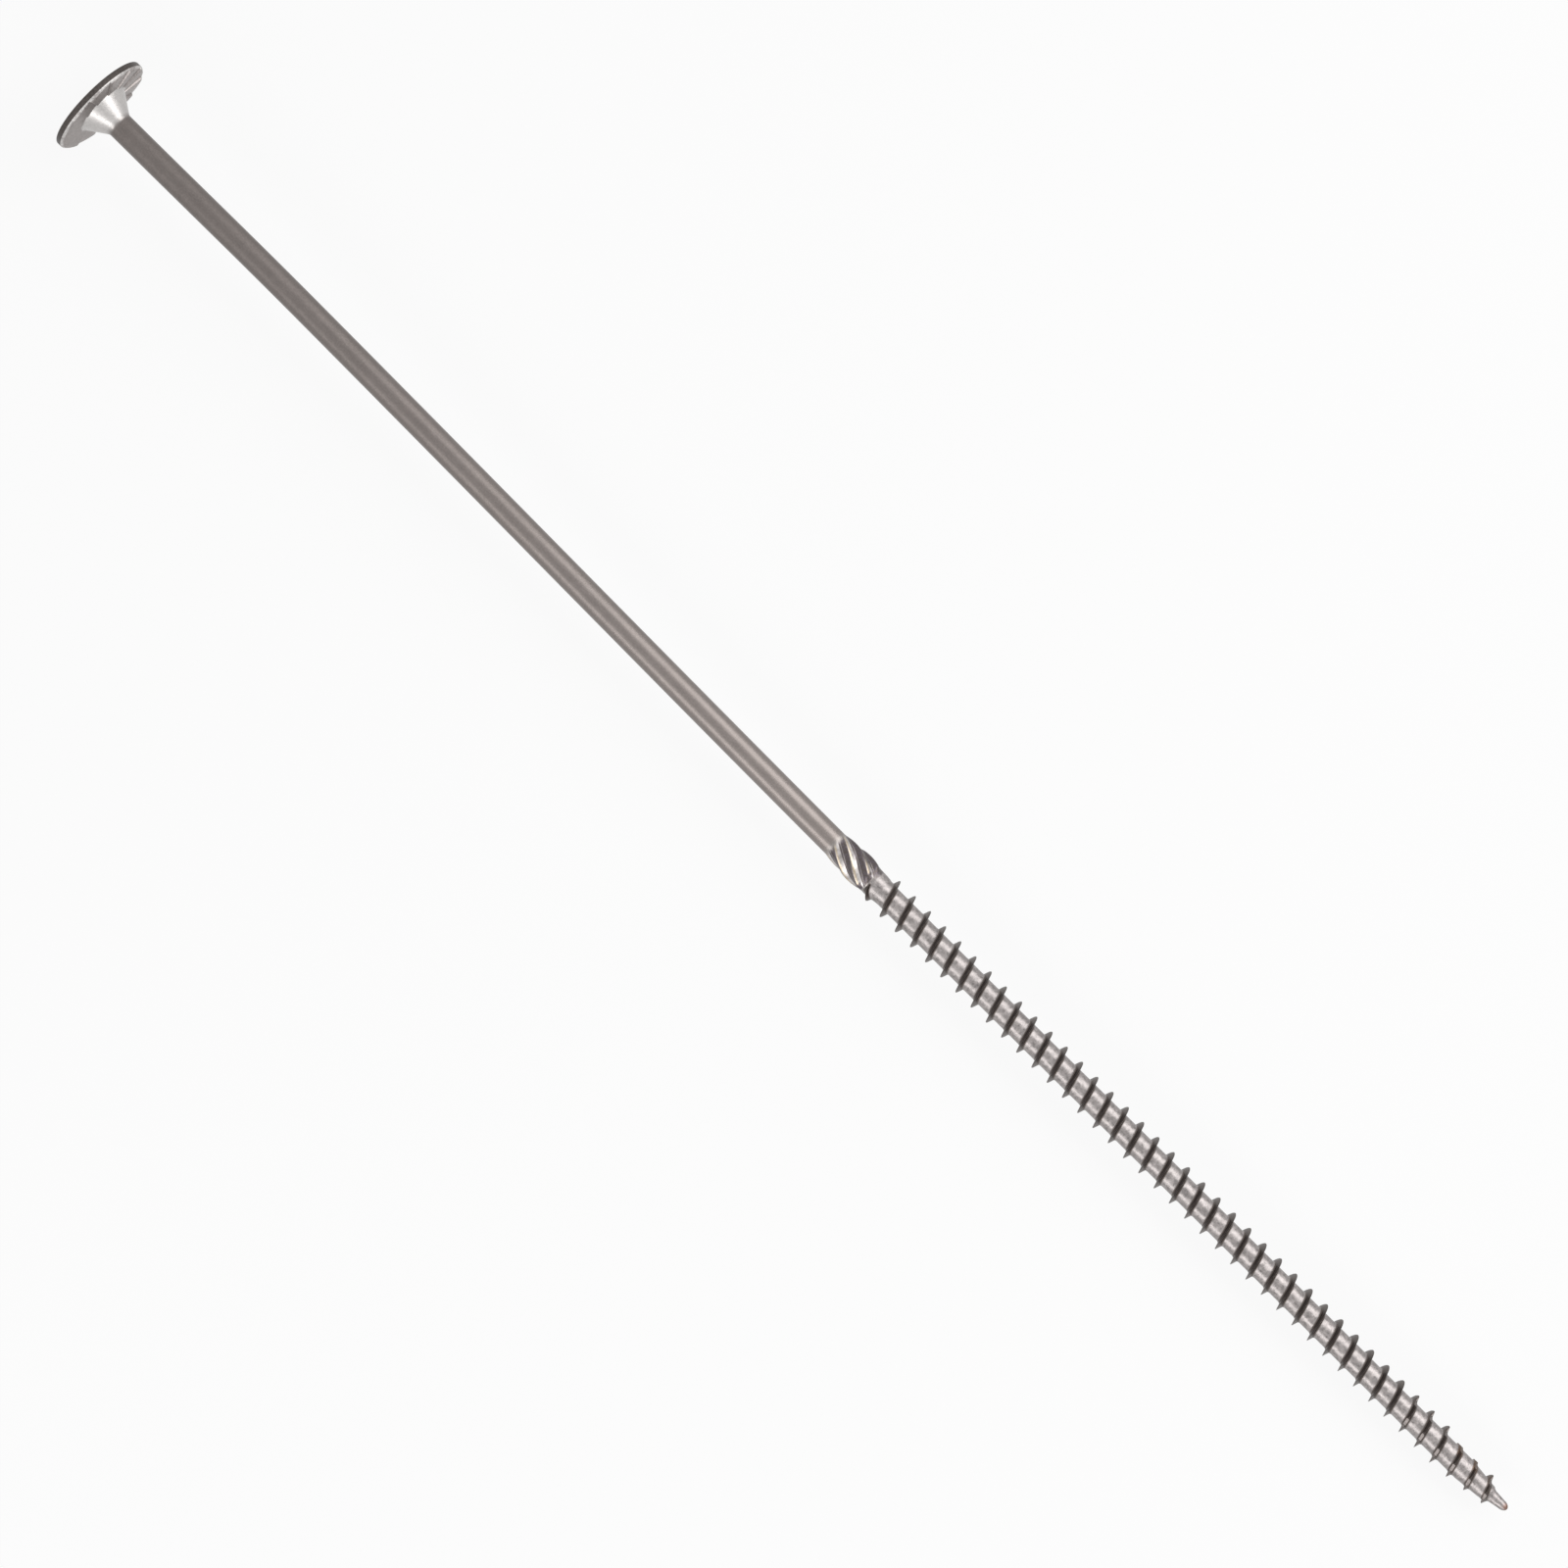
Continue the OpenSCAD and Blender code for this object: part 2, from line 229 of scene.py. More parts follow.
class Nodes:
    """Fills one node tree, of a material, the world or Geometry Nodes."""

    def __init__(self, tree: bpy.types.NodeTree) -> None:
        """Keeps the tree that the nodes are added to."""
        self.tree = tree

    def add(self, kind: str, settings: dict | None = None, inputs: dict | None = None) -> Node:
        """Adds a node: its settings are set first, then the values or links of its sockets.

        Args:
            kind: the node's type.
            settings: properties of the node.
            inputs: value, Value or socket for each input, by name or number.

        Returns:
            The new node.
        """
        node = self.tree.nodes.new(kind)
        for name, value in (settings or {}).items():
            setattr(node, name, value)
        for name, value in (inputs or {}).items():
            socket = value.socket if isinstance(value, Value) else value
            if isinstance(socket, bpy.types.NodeSocket):
                self.tree.links.new(socket, node.inputs[name])
            else:
                node.inputs[name].default_value = socket
        return Node(self, node)

    @staticmethod
    def cleared(owner: bpy.types.Material | bpy.types.World) -> "Nodes":
        """Turns on the nodes of a material or world and clears them."""
        owner.use_nodes = True
        owner.node_tree.nodes.clear()
        return Nodes(owner.node_tree)

    def vector(
        self, x: Value | float, y: Value | float, z: Value | float
    ) -> bpy.types.NodeSocket:
        """Three numbers as one vector socket."""
        return self.add("ShaderNodeCombineXYZ", {}, {"X": x, "Y": y, "Z": z}).out()

    def parts(self, vector: bpy.types.NodeSocket) -> tuple[Value, Value, Value]:
        """The three numbers of a vector socket."""
        node = self.add("ShaderNodeSeparateXYZ", {}, {"Vector": vector})
        return node.value(0), node.value(1), node.value(2)

    def times(
        self, vector: bpy.types.NodeSocket, factors: Sequence[float]
    ) -> bpy.types.NodeSocket:
        """A vector with each number multiplied by its own factor."""
        inputs = {0: vector, 1: tuple(factors)}
        return self.add("ShaderNodeVectorMath", {"operation": "MULTIPLY"}, inputs).out()

    def noise(
        self, vector: bpy.types.NodeSocket, scale: float, detail: float = 2.0, rough: float = 0.5
    ) -> Value:
        """Smooth noise, near 0.5 on average.

        Args:
            vector: where it is read.
            scale: swells to each unit of the vector.
            detail: octaves of finer noise.
            rough: share of the finer octaves.

        Returns:
            The noise.
        """
        inputs = {"Vector": vector, "Scale": scale, "Detail": detail, "Roughness": rough}
        return self.add("ShaderNodeTexNoise", {"noise_dimensions": "3D"}, inputs).value("Fac")

    def mix(
        self,
        share: Value | float,
        first: bpy.types.NodeSocket | Sequence[float],
        second: bpy.types.NodeSocket | Sequence[float],
    ) -> bpy.types.NodeSocket:
        """Blends two colours.

        Args:
            share: 0 for the first colour, 1 for the second.
            first: a colour or a colour socket.
            second: a colour or a colour socket.

        Returns:
            The blended colour's socket.
        """
        colours = [
            c if isinstance(c, bpy.types.NodeSocket) else (*c, 1.0) for c in (first, second)
        ]
        inputs = {0: share, 6: colours[0], 7: colours[1]}
        return self.add("ShaderNodeMix", {"data_type": "RGBA"}, inputs).out(2)

    def mark(
        self, geometry: bpy.types.NodeSocket, name: str, value: Value
    ) -> bpy.types.NodeSocket:
        """A geometry with a number kept on each corner, under a name."""
        settings = {"data_type": "FLOAT", "domain": "POINT"}
        inputs = {"Geometry": geometry, "Name": name, "Value": value}
        return self.add("GeometryNodeStoreNamedAttribute", settings, inputs).out()

    def tint(
        self, colour: bpy.types.NodeSocket | Sequence[float], level: Value
    ) -> bpy.types.NodeSocket:
        """A colour made brighter or darker by a number."""
        first = colour if isinstance(colour, bpy.types.NodeSocket) else (*colour, 1.0)
        inputs = {0: 1.0, 6: first, 7: self.vector(level, level, level)}
        settings = {"data_type": "RGBA", "blend_type": "MULTIPLY"}
        return self.add("ShaderNodeMix", settings, inputs).out(2)


class Recipe:
    """A Geometry Nodes tree with named sizes, run once on a starting mesh."""

    def __init__(self, name: str) -> None:
        """Makes the empty tree, with its geometry input and output."""
        self.name = name
        self.tree = bpy.data.node_groups.new(name, "GeometryNodeTree")
        kind = "NodeSocketGeometry"
        for way in ("OUTPUT", "INPUT"):
            self.tree.interface.new_socket("Geometry", in_out=way, socket_type=kind)
        self.nodes = Nodes(self.tree)
        self.entry = self.nodes.add("NodeGroupInput")
        self.given: dict[str, object] = {}

    def start(self) -> bpy.types.NodeSocket:
        """The mesh that the recipe starts from."""
        return self.entry.out(0)

    def size(self, name: str, value: float) -> Value:
        """Adds a named number that the modifier sets."""
        return self._input(name, "NodeSocketFloat", float(value))

    def count(self, name: str, value: int) -> Value:
        """Adds a named whole number that the modifier sets."""
        return self._input(name, "NodeSocketInt", int(value))

    def _input(self, name: str, kind: str, value: object) -> Value:
        """Adds an input socket and keeps its value under the socket's identifier."""
        item = self.tree.interface.new_socket(name, in_out="INPUT", socket_type=kind)
        self.given[item.identifier] = value
        return Value(self.nodes, self.entry.out(name))

    def grid(self, across: Value, along: Value) -> tuple[bpy.types.NodeSocket, Value, Value]:
        """Adds a grid whose points are put in their places later.

        Args:
            across: how many points it has across.
            along: how many points it has along.

        Returns:
            The grid, and each point's share of the way across and along it.
        """
        inputs = {"Size X": 1.0, "Size Y": 1.0, "Vertices X": across, "Vertices Y": along}
        mesh = self.nodes.add("GeometryNodeMeshGrid", {}, inputs).out()
        x, y, _ = self.nodes.parts(self.nodes.add("GeometryNodeInputPosition").out())
        return mesh, x + 0.5, y + 0.5

    def section_point(self, index: Value) -> tuple[Value, Value, Value]:
        """The three numbers of one point of the section that the recipe starts from."""
        position = self.nodes.add("GeometryNodeInputPosition").out()
        inputs = {"Geometry": self.start(), "Value": position, "Index": index}
        settings = {"data_type": "FLOAT_VECTOR", "domain": "POINT"}
        return self.nodes.parts(self.nodes.add("GeometryNodeSampleIndex", settings, inputs).out())

    def weld(self, geometry: bpy.types.NodeSocket) -> bpy.types.NodeSocket:
        """Merges the points of a geometry that meet."""
        inputs = {"Geometry": geometry, "Distance": MERGE_GAP}
        return self.nodes.add("GeometryNodeMergeByDistance", {}, inputs).out()

    def shape(
        self, geometry: bpy.types.NodeSocket, position: bpy.types.NodeSocket
    ) -> bpy.types.NodeSocket:
        """Puts the points of a geometry in their places and merges those that meet."""
        inputs = {"Geometry": geometry, "Position": position}
        return self.weld(self.nodes.add("GeometryNodeSetPosition", {}, inputs).out())

    def end(self, geometry: bpy.types.NodeSocket, finish: bpy.types.Material) -> None:
        """Closes the tree with Realize Instances and Set Material.

        Args:
            geometry: what the tree has made.
            finish: the material of all its faces.
        """
        whole = self.nodes.add("GeometryNodeRealizeInstances", {}, {0: geometry}).out()
        item = self.tree.interface.new_socket(
            "Finish", in_out="INPUT", socket_type="NodeSocketMaterial"
        )
        self.given[item.identifier] = finish
        dressed = self.nodes.add("GeometryNodeSetMaterial", {}, {"Geometry": whole}).node
        self.tree.links.new(self.entry.out("Finish"), dressed.inputs["Material"])
        self.nodes.add("NodeGroupOutput", {}, {0: dressed.outputs[0]})

    def run(self, start: bpy.types.Mesh) -> bpy.types.Mesh:
        """Runs the tree as a modifier and takes the result as a plain mesh.

        Args:
            start: the mesh that the tree starts from.

        Returns:
            The finished mesh.
        """
        carrier = bpy.data.objects.new(self.name, start)
        modifier = carrier.modifiers.new(self.name, "NODES")
        modifier.node_group = self.tree
        for identifier, value in self.given.items():
            modifier[identifier] = value
        bpy.context.scene.collection.objects.link(carrier)
        graph = bpy.context.evaluated_depsgraph_get()
        mesh = bpy.data.meshes.new_from_object(
            carrier.evaluated_get(graph), preserve_all_data_layers=True, depsgraph=graph
        )
        carrier.modifiers.remove(modifier)
        bpy.data.objects.remove(carrier)
        return mesh


class Skin:
    """The one closed surface of the screw while it is put together."""

    def __init__(self) -> None:
        """Starts with no faces, and a layer for each number kept on the corners."""
        self.mesh = bmesh.new()
        for name in (RIDGE_LAYER, FLANK_LAYER):
            self.mesh.verts.layers.float.new(name)

    def ring(self, points: Iterable[Vector]) -> list[bmesh.types.BMVert]:
        """Adds the points of one ring."""
        return [self.mesh.verts.new(p) for p in points]

    def add(self, mesh: bpy.types.Mesh) -> None:
        """Adds a finished part, with the numbers kept on its corners."""
        self.mesh.from_mesh(mesh)
        bpy.data.meshes.remove(mesh)

    def face(self, corners: Sequence[bmesh.types.BMVert]) -> None:
        """Adds a face on corners that exist."""
        self.mesh.faces.new(corners)

    def tube(self, rings: Sequence[Sequence[bmesh.types.BMVert]]) -> None:
        """Joins rings of equal counts, one after another, with four-sided faces."""
        for first, second in zip(rings, rings[1:]):
            for i, corner in enumerate(first):
                j = (i + 1) % len(first)
                self.face((corner, first[j], second[j], second[i]))

    def cap(self, rim: Sequence[bmesh.types.BMVert], centre: Vector) -> None:
        """Closes a ring with a fan of faces to one point."""
        middle = self.mesh.verts.new(centre)
        for i, corner in enumerate(rim):
            self.face((corner, rim[(i + 1) % len(rim)], middle))

    def open_ring(self, height: float) -> list[bmesh.types.BMVert]:
        """The open edge at a height, sorted by direction.

        Args:
            height: place along the axis.

        Returns:
            The edge's corners, by angle.
        """
        found = {
            v
            for e in self.mesh.edges
            if len(e.link_faces) == 1
            for v in e.verts
            if abs(v.co.z - height) < MERGE_GAP
        }
        return sorted(found, key=lambda v: math.atan2(v.co.y, v.co.x))

    def zip(
        self, first: Sequence[bmesh.types.BMVert], second: Sequence[bmesh.types.BMVert]
    ) -> None:
        """Joins two rings of any counts with triangles, stepping by direction.

        Args:
            first: one ring, sorted by angle.
            second: the next ring, sorted by angle.
        """

        def turn(v: bmesh.types.BMVert) -> float:
            """Direction of a corner, in radians."""
            return math.atan2(v.co.y, v.co.x)

        base = turn(first[0])
        gaps = [(turn(v) - base + math.pi) % FULL_TURN - math.pi for v in second]
        near = min(range(len(second)), key=lambda k: abs(gaps[k]))
        ahead = list(second[near:]) + list(second[:near])
        a_turns = [(turn(v) - base) % FULL_TURN for v in first] + [FULL_TURN]
        a_turns[0] = 0.0
        b_start = gaps[near]
        b_turns = [b_start + (turn(v) - base - b_start) % FULL_TURN for v in ahead]
        b_turns[0] = b_start
        b_turns.append(b_start + FULL_TURN)
        i = j = 0
        while i < len(first) or j < len(ahead):
            a, b = first[i % len(first)], ahead[j % len(ahead)]
            if j >= len(ahead) or (i < len(first) and a_turns[i + 1] <= b_turns[j + 1]):
                i += 1
                self.face((a, first[i % len(first)], b))
            else:
                j += 1
                self.face((a, ahead[j % len(ahead)], b))

    def finish(self, name: str, bend: "Bend", place: Matrix) -> bpy.types.Mesh:
        """Merges the seams, turns the faces outwards, bends the skin and lays it down.

        Args:
            name: the mesh's name.
            bend: how far the screw is out of true.
            place: from the screw's frame in millimetres to the row frame in metres.

        Returns:
            The closed mesh.
        """
        bmesh.ops.remove_doubles(self.mesh, verts=self.mesh.verts, dist=MERGE_GAP)
        bmesh.ops.dissolve_degenerate(self.mesh, edges=self.mesh.edges, dist=MERGE_GAP / 4)
        bmesh.ops.recalc_face_normals(self.mesh, faces=self.mesh.faces)
        open_edges = sum(1 for e in self.mesh.edges if len(e.link_faces) != 2)
        if self.mesh.calc_volume(signed=True) < 0:
            bmesh.ops.reverse_faces(self.mesh, faces=self.mesh.faces)
        for corner in self.mesh.verts:
            corner.co.y += bend.offset(corner.co.z)
        self.mesh.transform(place)
        mesh = bpy.data.meshes.new(name)
        self.mesh.to_mesh(mesh)
        self.mesh.free()
        triangles = sum(len(p.vertices) - 2 for p in mesh.polygons)
        log.info("%s: %d triangles, %d open edges", name, triangles, open_edges)
        return mesh


def smooth_share(value: float, low: float, high: float) -> float:
    """Share of the way from low to high, eased and held at the two ends.

    Args:
        value: the number to place.
        low: where the share is 0.
        high: where the share is 1.

    Returns:
        A number from 0 to 1.
    """
    t = max(0.0, min(1.0, (value - low) / (high - low)))
    return t * t * (3 - 2 * t)


@dataclass
class Bend:
    """How a handled screw is out of true: a slight sweep, and a point pinched to one side."""

    sweep: float = 0.4
    far_sweep: float = 0.22
    sweep_length: float = 360.0
    straight_z: float = 125.0
    head_length: float = 60.0
    point_z: float = 393.5
    point_end_z: float = 400.0
    point_lean: float = 0.35

    def offset(self, along: float) -> float:
        """Offset towards +Y at a place along the axis, in millimetres."""
        wave = math.sin(FULL_TURN * (along - self.straight_z) / self.sweep_length)
        fade = smooth_share(along, 0.0, self.head_length)
        lean = self.point_lean * smooth_share(along, self.point_z, self.point_end_z)
        sweep = self.sweep if wave > 0 or along < self.straight_z else self.far_sweep
        return lean - sweep * wave * fade


@dataclass
class DriveRecess:
    """Six-lobe socket in the crown of the head."""

    lobes: int = 6
    lobe_diameter: float = 6.75
    core_diameter: float = 4.85
    depth: float = 3.6
    bevel: float = 0.3
    mouth_round: float = 0.12
    mouth_drop: float = 0.02
    heel_round: float = 0.25
    heel_bulge: float = 0.3
    edge_gap: float = 0.05
    floor_angle: float = 15.0
    sides: int = 144

    def outline(self, angle: float) -> float:
        """Radius of the upright wall in a direction."""
        mean = (self.lobe_diameter + self.core_diameter) / 4
        swing = (self.lobe_diameter - self.core_diameter) / 4
        return mean + swing * math.cos(self.lobes * angle)

    def build(self, skin: Skin) -> list[bmesh.types.BMVert]:
        """Adds the socket, from its floor to its mouth.

        Args:
            skin: the surface to add it to.

        Returns:
            The mouth's ring on the crown.
        """
        angles = [a - math.pi for a in even_angles(self.sides)]
        mouth = self.lobe_diameter / 2 + self.bevel
        ledge = mouth - 2 * self.bevel
        floor = self.core_diameter / 2 - self.edge_gap
        wall_z = 2 * self.bevel + self.edge_gap
        bulge = self.heel_bulge * self.heel_round
        foot_z = self.depth - self.heel_round
        slope = math.tan(math.radians(self.floor_angle))

        def level(radius_of: Callable[[float], float], height: float) -> list:
            """A ring at one height."""
            return skin.ring(
                Vector((radius_of(a) * math.cos(a), radius_of(a) * math.sin(a), height))
                for a in angles
            )

        rim = level(lambda a: mouth + self.mouth_round, 0.0)
        lip = level(lambda a: mouth, self.mouth_drop)
        edge = skin.ring(
            Vector((r * math.cos(a), r * math.sin(a), mouth - r))
            for a in angles
            for r in [max(self.outline(a), ledge)]
        )
        wall_top = skin.ring(
            Vector((r * math.cos(a), r * math.sin(a), height + self.edge_gap))
            for a in angles
            for r in [self.outline(a)]
            for height in [min(mouth - r, 2 * self.bevel)]
        )
        walls = [
            level(self.outline, self.depth * share + wall_z * (1 - share))
            for share in (0.05, 0.35, 0.65)
        ]
        foot = level(self.outline, foot_z)
        heel = level(lambda a: self.outline(a) - bulge, self.depth - bulge)
        flat = level(lambda a: min(self.outline(a) - self.heel_round, floor), self.depth)
        cone = level(lambda a: floor / 2, self.depth + floor / 2 * slope)
        skin.tube([rim, lip, edge, wall_top, *walls, foot, heel, flat, cone])
        skin.cap(cone, Vector((0, 0, self.depth + floor * slope)))
        return rim


@dataclass
class FlangeHead:
    """Washer-like head with twelve ramped teeth under it and a conical neck."""

    diameter: float = 22.9
    crown_height: float = 0.5
    land_diameter: float = 12.0
    rim_round: float = 0.25
    rim_height: float = 1.3
    rim_corner: tuple[tuple[float, float], ...] = ((0.0, -0.11), (0.012, -0.03), (0.05, 0.05))
    bevel_start: float = 0.1
    seat_height: float = 0.65
    seat_bevel: float = 0.55
    neck_diameter: float = 11.6
    neck_angle: float = 34.0
    neck_fillet: float = 1.2
    shank_diameter: float = 5.5
    tooth_count: int = 12
    tooth_height: float = 0.45
    tooth_land: float = 4.0
    tooth_land_steps: tuple[float, float] = (2.4, 1.2)
    tooth_face: float = 0.75
    tooth_lip: float = 0.004
    tooth_turn: float = 5.0
    tooth_round: float = 0.06
    tooth_shoulder: tuple[float, float] = (0.02, 0.05)
    recess: DriveRecess = field(default_factory=DriveRecess)

    @property
    def radius(self) -> float:
        """Radius of the flange."""
        return self.diameter / 2

    @property
    def rim_z(self) -> float:
        """Height of the rim's lower edge."""
        return self.crown_height + self.rim_height

    @property
    def seat_z(self) -> float:
        """Height of the teeth's crests."""
        return self.rim_z + self.seat_height

    @property
    def neck_tan(self) -> float:
        """Tangent of the neck's angle to the axis."""
        return math.tan(math.radians(self.neck_angle))

    @property
    def neck_end_z(self) -> float:
        """Height at which the neck has become the shank."""
        rise = (self.neck_diameter - self.shank_diameter) / 2 / self.neck_tan
        return self.seat_z + rise + self.neck_fillet * math.tan(math.radians(self.neck_angle / 2))

    def crown_curve(self) -> list[tuple[float, float]]:
        """Radius and height from the flat land over the rounded edge to the rim's lower edge."""
        land, edge = self.land_diameter / 2, self.radius - self.rim_round
        steps = [i / 7 for i in range(8)]
        curve = [(land + (edge - land) * t, self.crown_height * t * t) for t in steps]
        for i in range(1, 7):
            a = math.radians(15 * i)
            curve.append(
                (
                    edge + self.rim_round * math.sin(a),
                    self.crown_height + self.rim_round * (1 - math.cos(a)),
                )
            )
        inward, height = self.rim_corner[0]
        curve.append((self.radius - inward, self.rim_z + height))
        return curve

    def neck_curve(self) -> list[tuple[float, float]]:
        """Radius and height from the crests' inner edge down the neck to the shank."""
        shank = self.shank_diameter / 2
        full = math.radians(self.neck_angle)
        start = shank + self.neck_fillet * (1 - math.cos(full))
        reach = self.neck_diameter / 2
        steps = [i / 6 for i in range(6)]
        curve = [
            (reach + (start - reach) * t, self.seat_z + (reach - start) * t / self.neck_tan)
            for t in steps
        ]
        for i in range(8):
            a = full * (1 - i / 7)
            curve.append(
                (
                    shank + self.neck_fillet * (1 - math.cos(a)),
                    self.neck_end_z - self.neck_fillet * math.sin(a),
                )
            )
        return curve

    def seat_column(self, fall: float) -> list[tuple[float, float]]:
        """Radius and height from the rim's lower edge over one line of a tooth to the neck.

        Args:
            fall: how far the tooth's ramp lies under the crests, for each unit of radius.

        Returns:
            The points of the line.
        """
        seat_r = self.radius - self.seat_bevel
        bevel = self.seat_height / self.seat_bevel
        outer = seat_r * bevel / (bevel - fall)
        inner = self.neck_diameter / 2
        crossing = (1 / self.neck_tan * inner) / (1 / self.neck_tan - fall)
        edge = [(self.radius - inward, self.rim_z + up) for inward, up in self.rim_corner[1:]]
        edge.append((self.radius - self.bevel_start, self.rim_z + self.bevel_start * bevel))
        ramp = [
            (r, self.seat_z - fall * r)
            for share in (0.0, 0.25, 0.5, 0.75, 1.0)
            for r in [outer - self.tooth_round + (crossing - outer + self.tooth_round) * share]
        ]
        outward, drop = self.tooth_shoulder
        return [*edge, (outer + outward, self.seat_z - fall * outer - drop), *ramp]

    def tooth_sector(self) -> bpy.types.Mesh:
        """One tooth's share of the whole head, from the land on the crown to the shank.

        Returns:
            A mesh of one sector, which starts and ends at the foot of an upright face.
        """
        pitch = 360 / self.tooth_count
        ramp_angle = pitch - self.tooth_land
        seat_r = self.radius - self.seat_bevel
        slope = self.tooth_height / (seat_r * math.sin(math.radians(ramp_angle)))
        ramp_turns = [0.0, 1.2, 4.0, 7.0, 10.0, 13.0, 16.0, 19.0, 22.0, 24.5, ramp_angle]
        columns = [(a, slope * math.sin(math.radians(ramp_angle - a))) for a in ramp_turns]
        columns += [(pitch - back, 0.0) for back in self.tooth_land_steps]
        columns += [(pitch - self.tooth_face, self.tooth_lip), (pitch, columns[0][1])]
        work = bmesh.new()
        lines = []
        for angle, fall in columns:
            profile = [*self.crown_curve(), *self.seat_column(fall), *self.neck_curve()]
            a = math.radians(angle)
            lines.append(
                [work.verts.new((r * math.cos(a), r * math.sin(a), z)) for r, z in profile]
            )
        for first, second in zip(lines, lines[1:]):
            for k in range(len(first) - 1):
                work.faces.new((first[k], first[k + 1], second[k + 1], second[k]))
        mesh = bpy.data.meshes.new("tooth_sector")
        work.to_mesh(mesh)
        work.free()
        return mesh

    def toothed_ring(self, finish: bpy.types.Material) -> bpy.types.Mesh:
        """Turns one sector into the whole ring of teeth with Geometry Nodes.

        Args:
            finish: the head's material.

        Returns:
            The head without its recess, open at the land and at the shank.
        """
        recipe = Recipe("ring_of_teeth")
        teeth = recipe.count("Teeth", self.tooth_count)
        turn = recipe.size("First Tooth", math.radians(self.tooth_turn))
        nodes = recipe.nodes
        points = nodes.add("GeometryNodePoints", {}, {"Count": teeth}).out()
        index = nodes.add("GeometryNodeInputIndex").value()
        spin = nodes.vector(0.0, 0.0, turn + index / teeth * FULL_TURN)
        inputs = {"Points": points, "Instance": recipe.start(), "Rotation": spin}
        copies = nodes.add("GeometryNodeInstanceOnPoints", {}, inputs).out()
        whole = nodes.add("GeometryNodeRealizeInstances", {}, {0: copies}).out()
        recipe.end(recipe.weld(whole), finish)
        return recipe.run(self.tooth_sector())

    def build(self, skin: Skin, finish: bpy.types.Material) -> None:
        """Adds the head, open only where the shank starts."""
        skin.add(self.toothed_ring(finish))
        land = skin.open_ring(0.0)
        mouth = self.recess.build(skin)
        skin.zip(mouth, land)
        log.info("flange head: %d teeth, neck ends at %.2f mm", self.tooth_count, self.neck_end_z)


@dataclass
class ShankCutter:
    """Steep ridges behind the thread that widen the hole for the shank."""

    start_z: float = 211.5
    end_z: float = 222.2
    shank_diameter: float = 5.5
    ridge_diameter: float = 6.8
    end_diameter: float = 5.8
    body_diameter: float = 5.4
    ridge_count: int = 6
    ridge_lead: float = 30.5
    ridge_rise: float = 5.6
    ridge_end: float = 1.0
    ridge_turn: float = 4.0
    ridge_bluntness: float = 1.15
    steps_per_ridge: int = 16
    rings: int = 60

    def section(self) -> bpy.types.Mesh:
        """One ridge's section: share of its width, share of its height, side of the crest."""
        places = [i / self.steps_per_ridge for i in range(self.steps_per_ridge + 1)]
        rows = [
            (p, (0.5 + 0.5 * math.cos(turn)) ** self.ridge_bluntness, math.sin(turn))
            for p in places
            for turn in [FULL_TURN * p]
        ]
        mesh = bpy.data.meshes.new("ridge_section")
        mesh.from_pydata(rows, [(i, i + 1) for i in range(len(rows) - 1)], [])
        return mesh

    def mesh(self, finish: bpy.types.Material) -> bpy.types.Mesh:
        """Sweeps the ridges along their lead with Geometry Nodes.

        Args:
            finish: the cutter's material.

        Returns:
            The cutter as a tube, open at both ends.
        """
        recipe = Recipe("shank_cutter_ridges")
        nodes = recipe.nodes
        around = self.ridge_count * self.steps_per_ridge
        columns = recipe.count("Columns", around)
        ridges = recipe.count("Ridges", self.ridge_count)
        rings = recipe.count("Rings", self.rings)
        start = recipe.size("Start", self.start_z)
        length = recipe.size("Length", self.end_z - self.start_z)
        lead = recipe.size("Lead", self.ridge_lead)
        first = recipe.size("First Ridge", math.radians(self.ridge_turn))
        shank = recipe.size("Shank Radius", self.shank_diameter / 2)
        body = recipe.size("Body Radius", self.body_diameter / 2)
        end = recipe.size("End Radius", self.end_diameter / 2)
        crest = recipe.size("Ridge Radius", self.ridge_diameter / 2)
        rise_length = recipe.size("Rise", self.ridge_rise)
        end_length = recipe.size("End", self.ridge_end)
        grid, across, onward = recipe.grid(columns + 1.0, rings)
        column = (across * columns + 0.5).floor()
        along = onward * length
        _, height, flank = recipe.section_point(column % (columns / ridges))
        rise = (along / rise_length).least((length - along) / end_length).least(1.0).most(0.0)
        in_first_mm = along.least(1.0)
        core = shank + (body - shank) * in_first_mm + (end - body) * (along / length)
        radius = core + (crest - core) * (height * rise)
        angle = first + (column / columns + along / lead) * FULL_TURN
        moved = nodes.vector(radius * angle.cos(), radius * angle.sin(), start + along)
        marked = nodes.mark(grid, RIDGE_LAYER, height)
        marked = nodes.mark(marked, FLANK_LAYER, flank)
        recipe.end(recipe.shape(marked, moved), finish)
        return recipe.run(self.section())

    def build(self, skin: Skin, finish: bpy.types.Material) -> None:
        """Adds the cutter, open at both ends."""
        skin.add(self.mesh(finish))
        length = self.end_z - self.start_z
        log.info("shank cutter: %d ridges over %.1f mm", self.ridge_count, length)


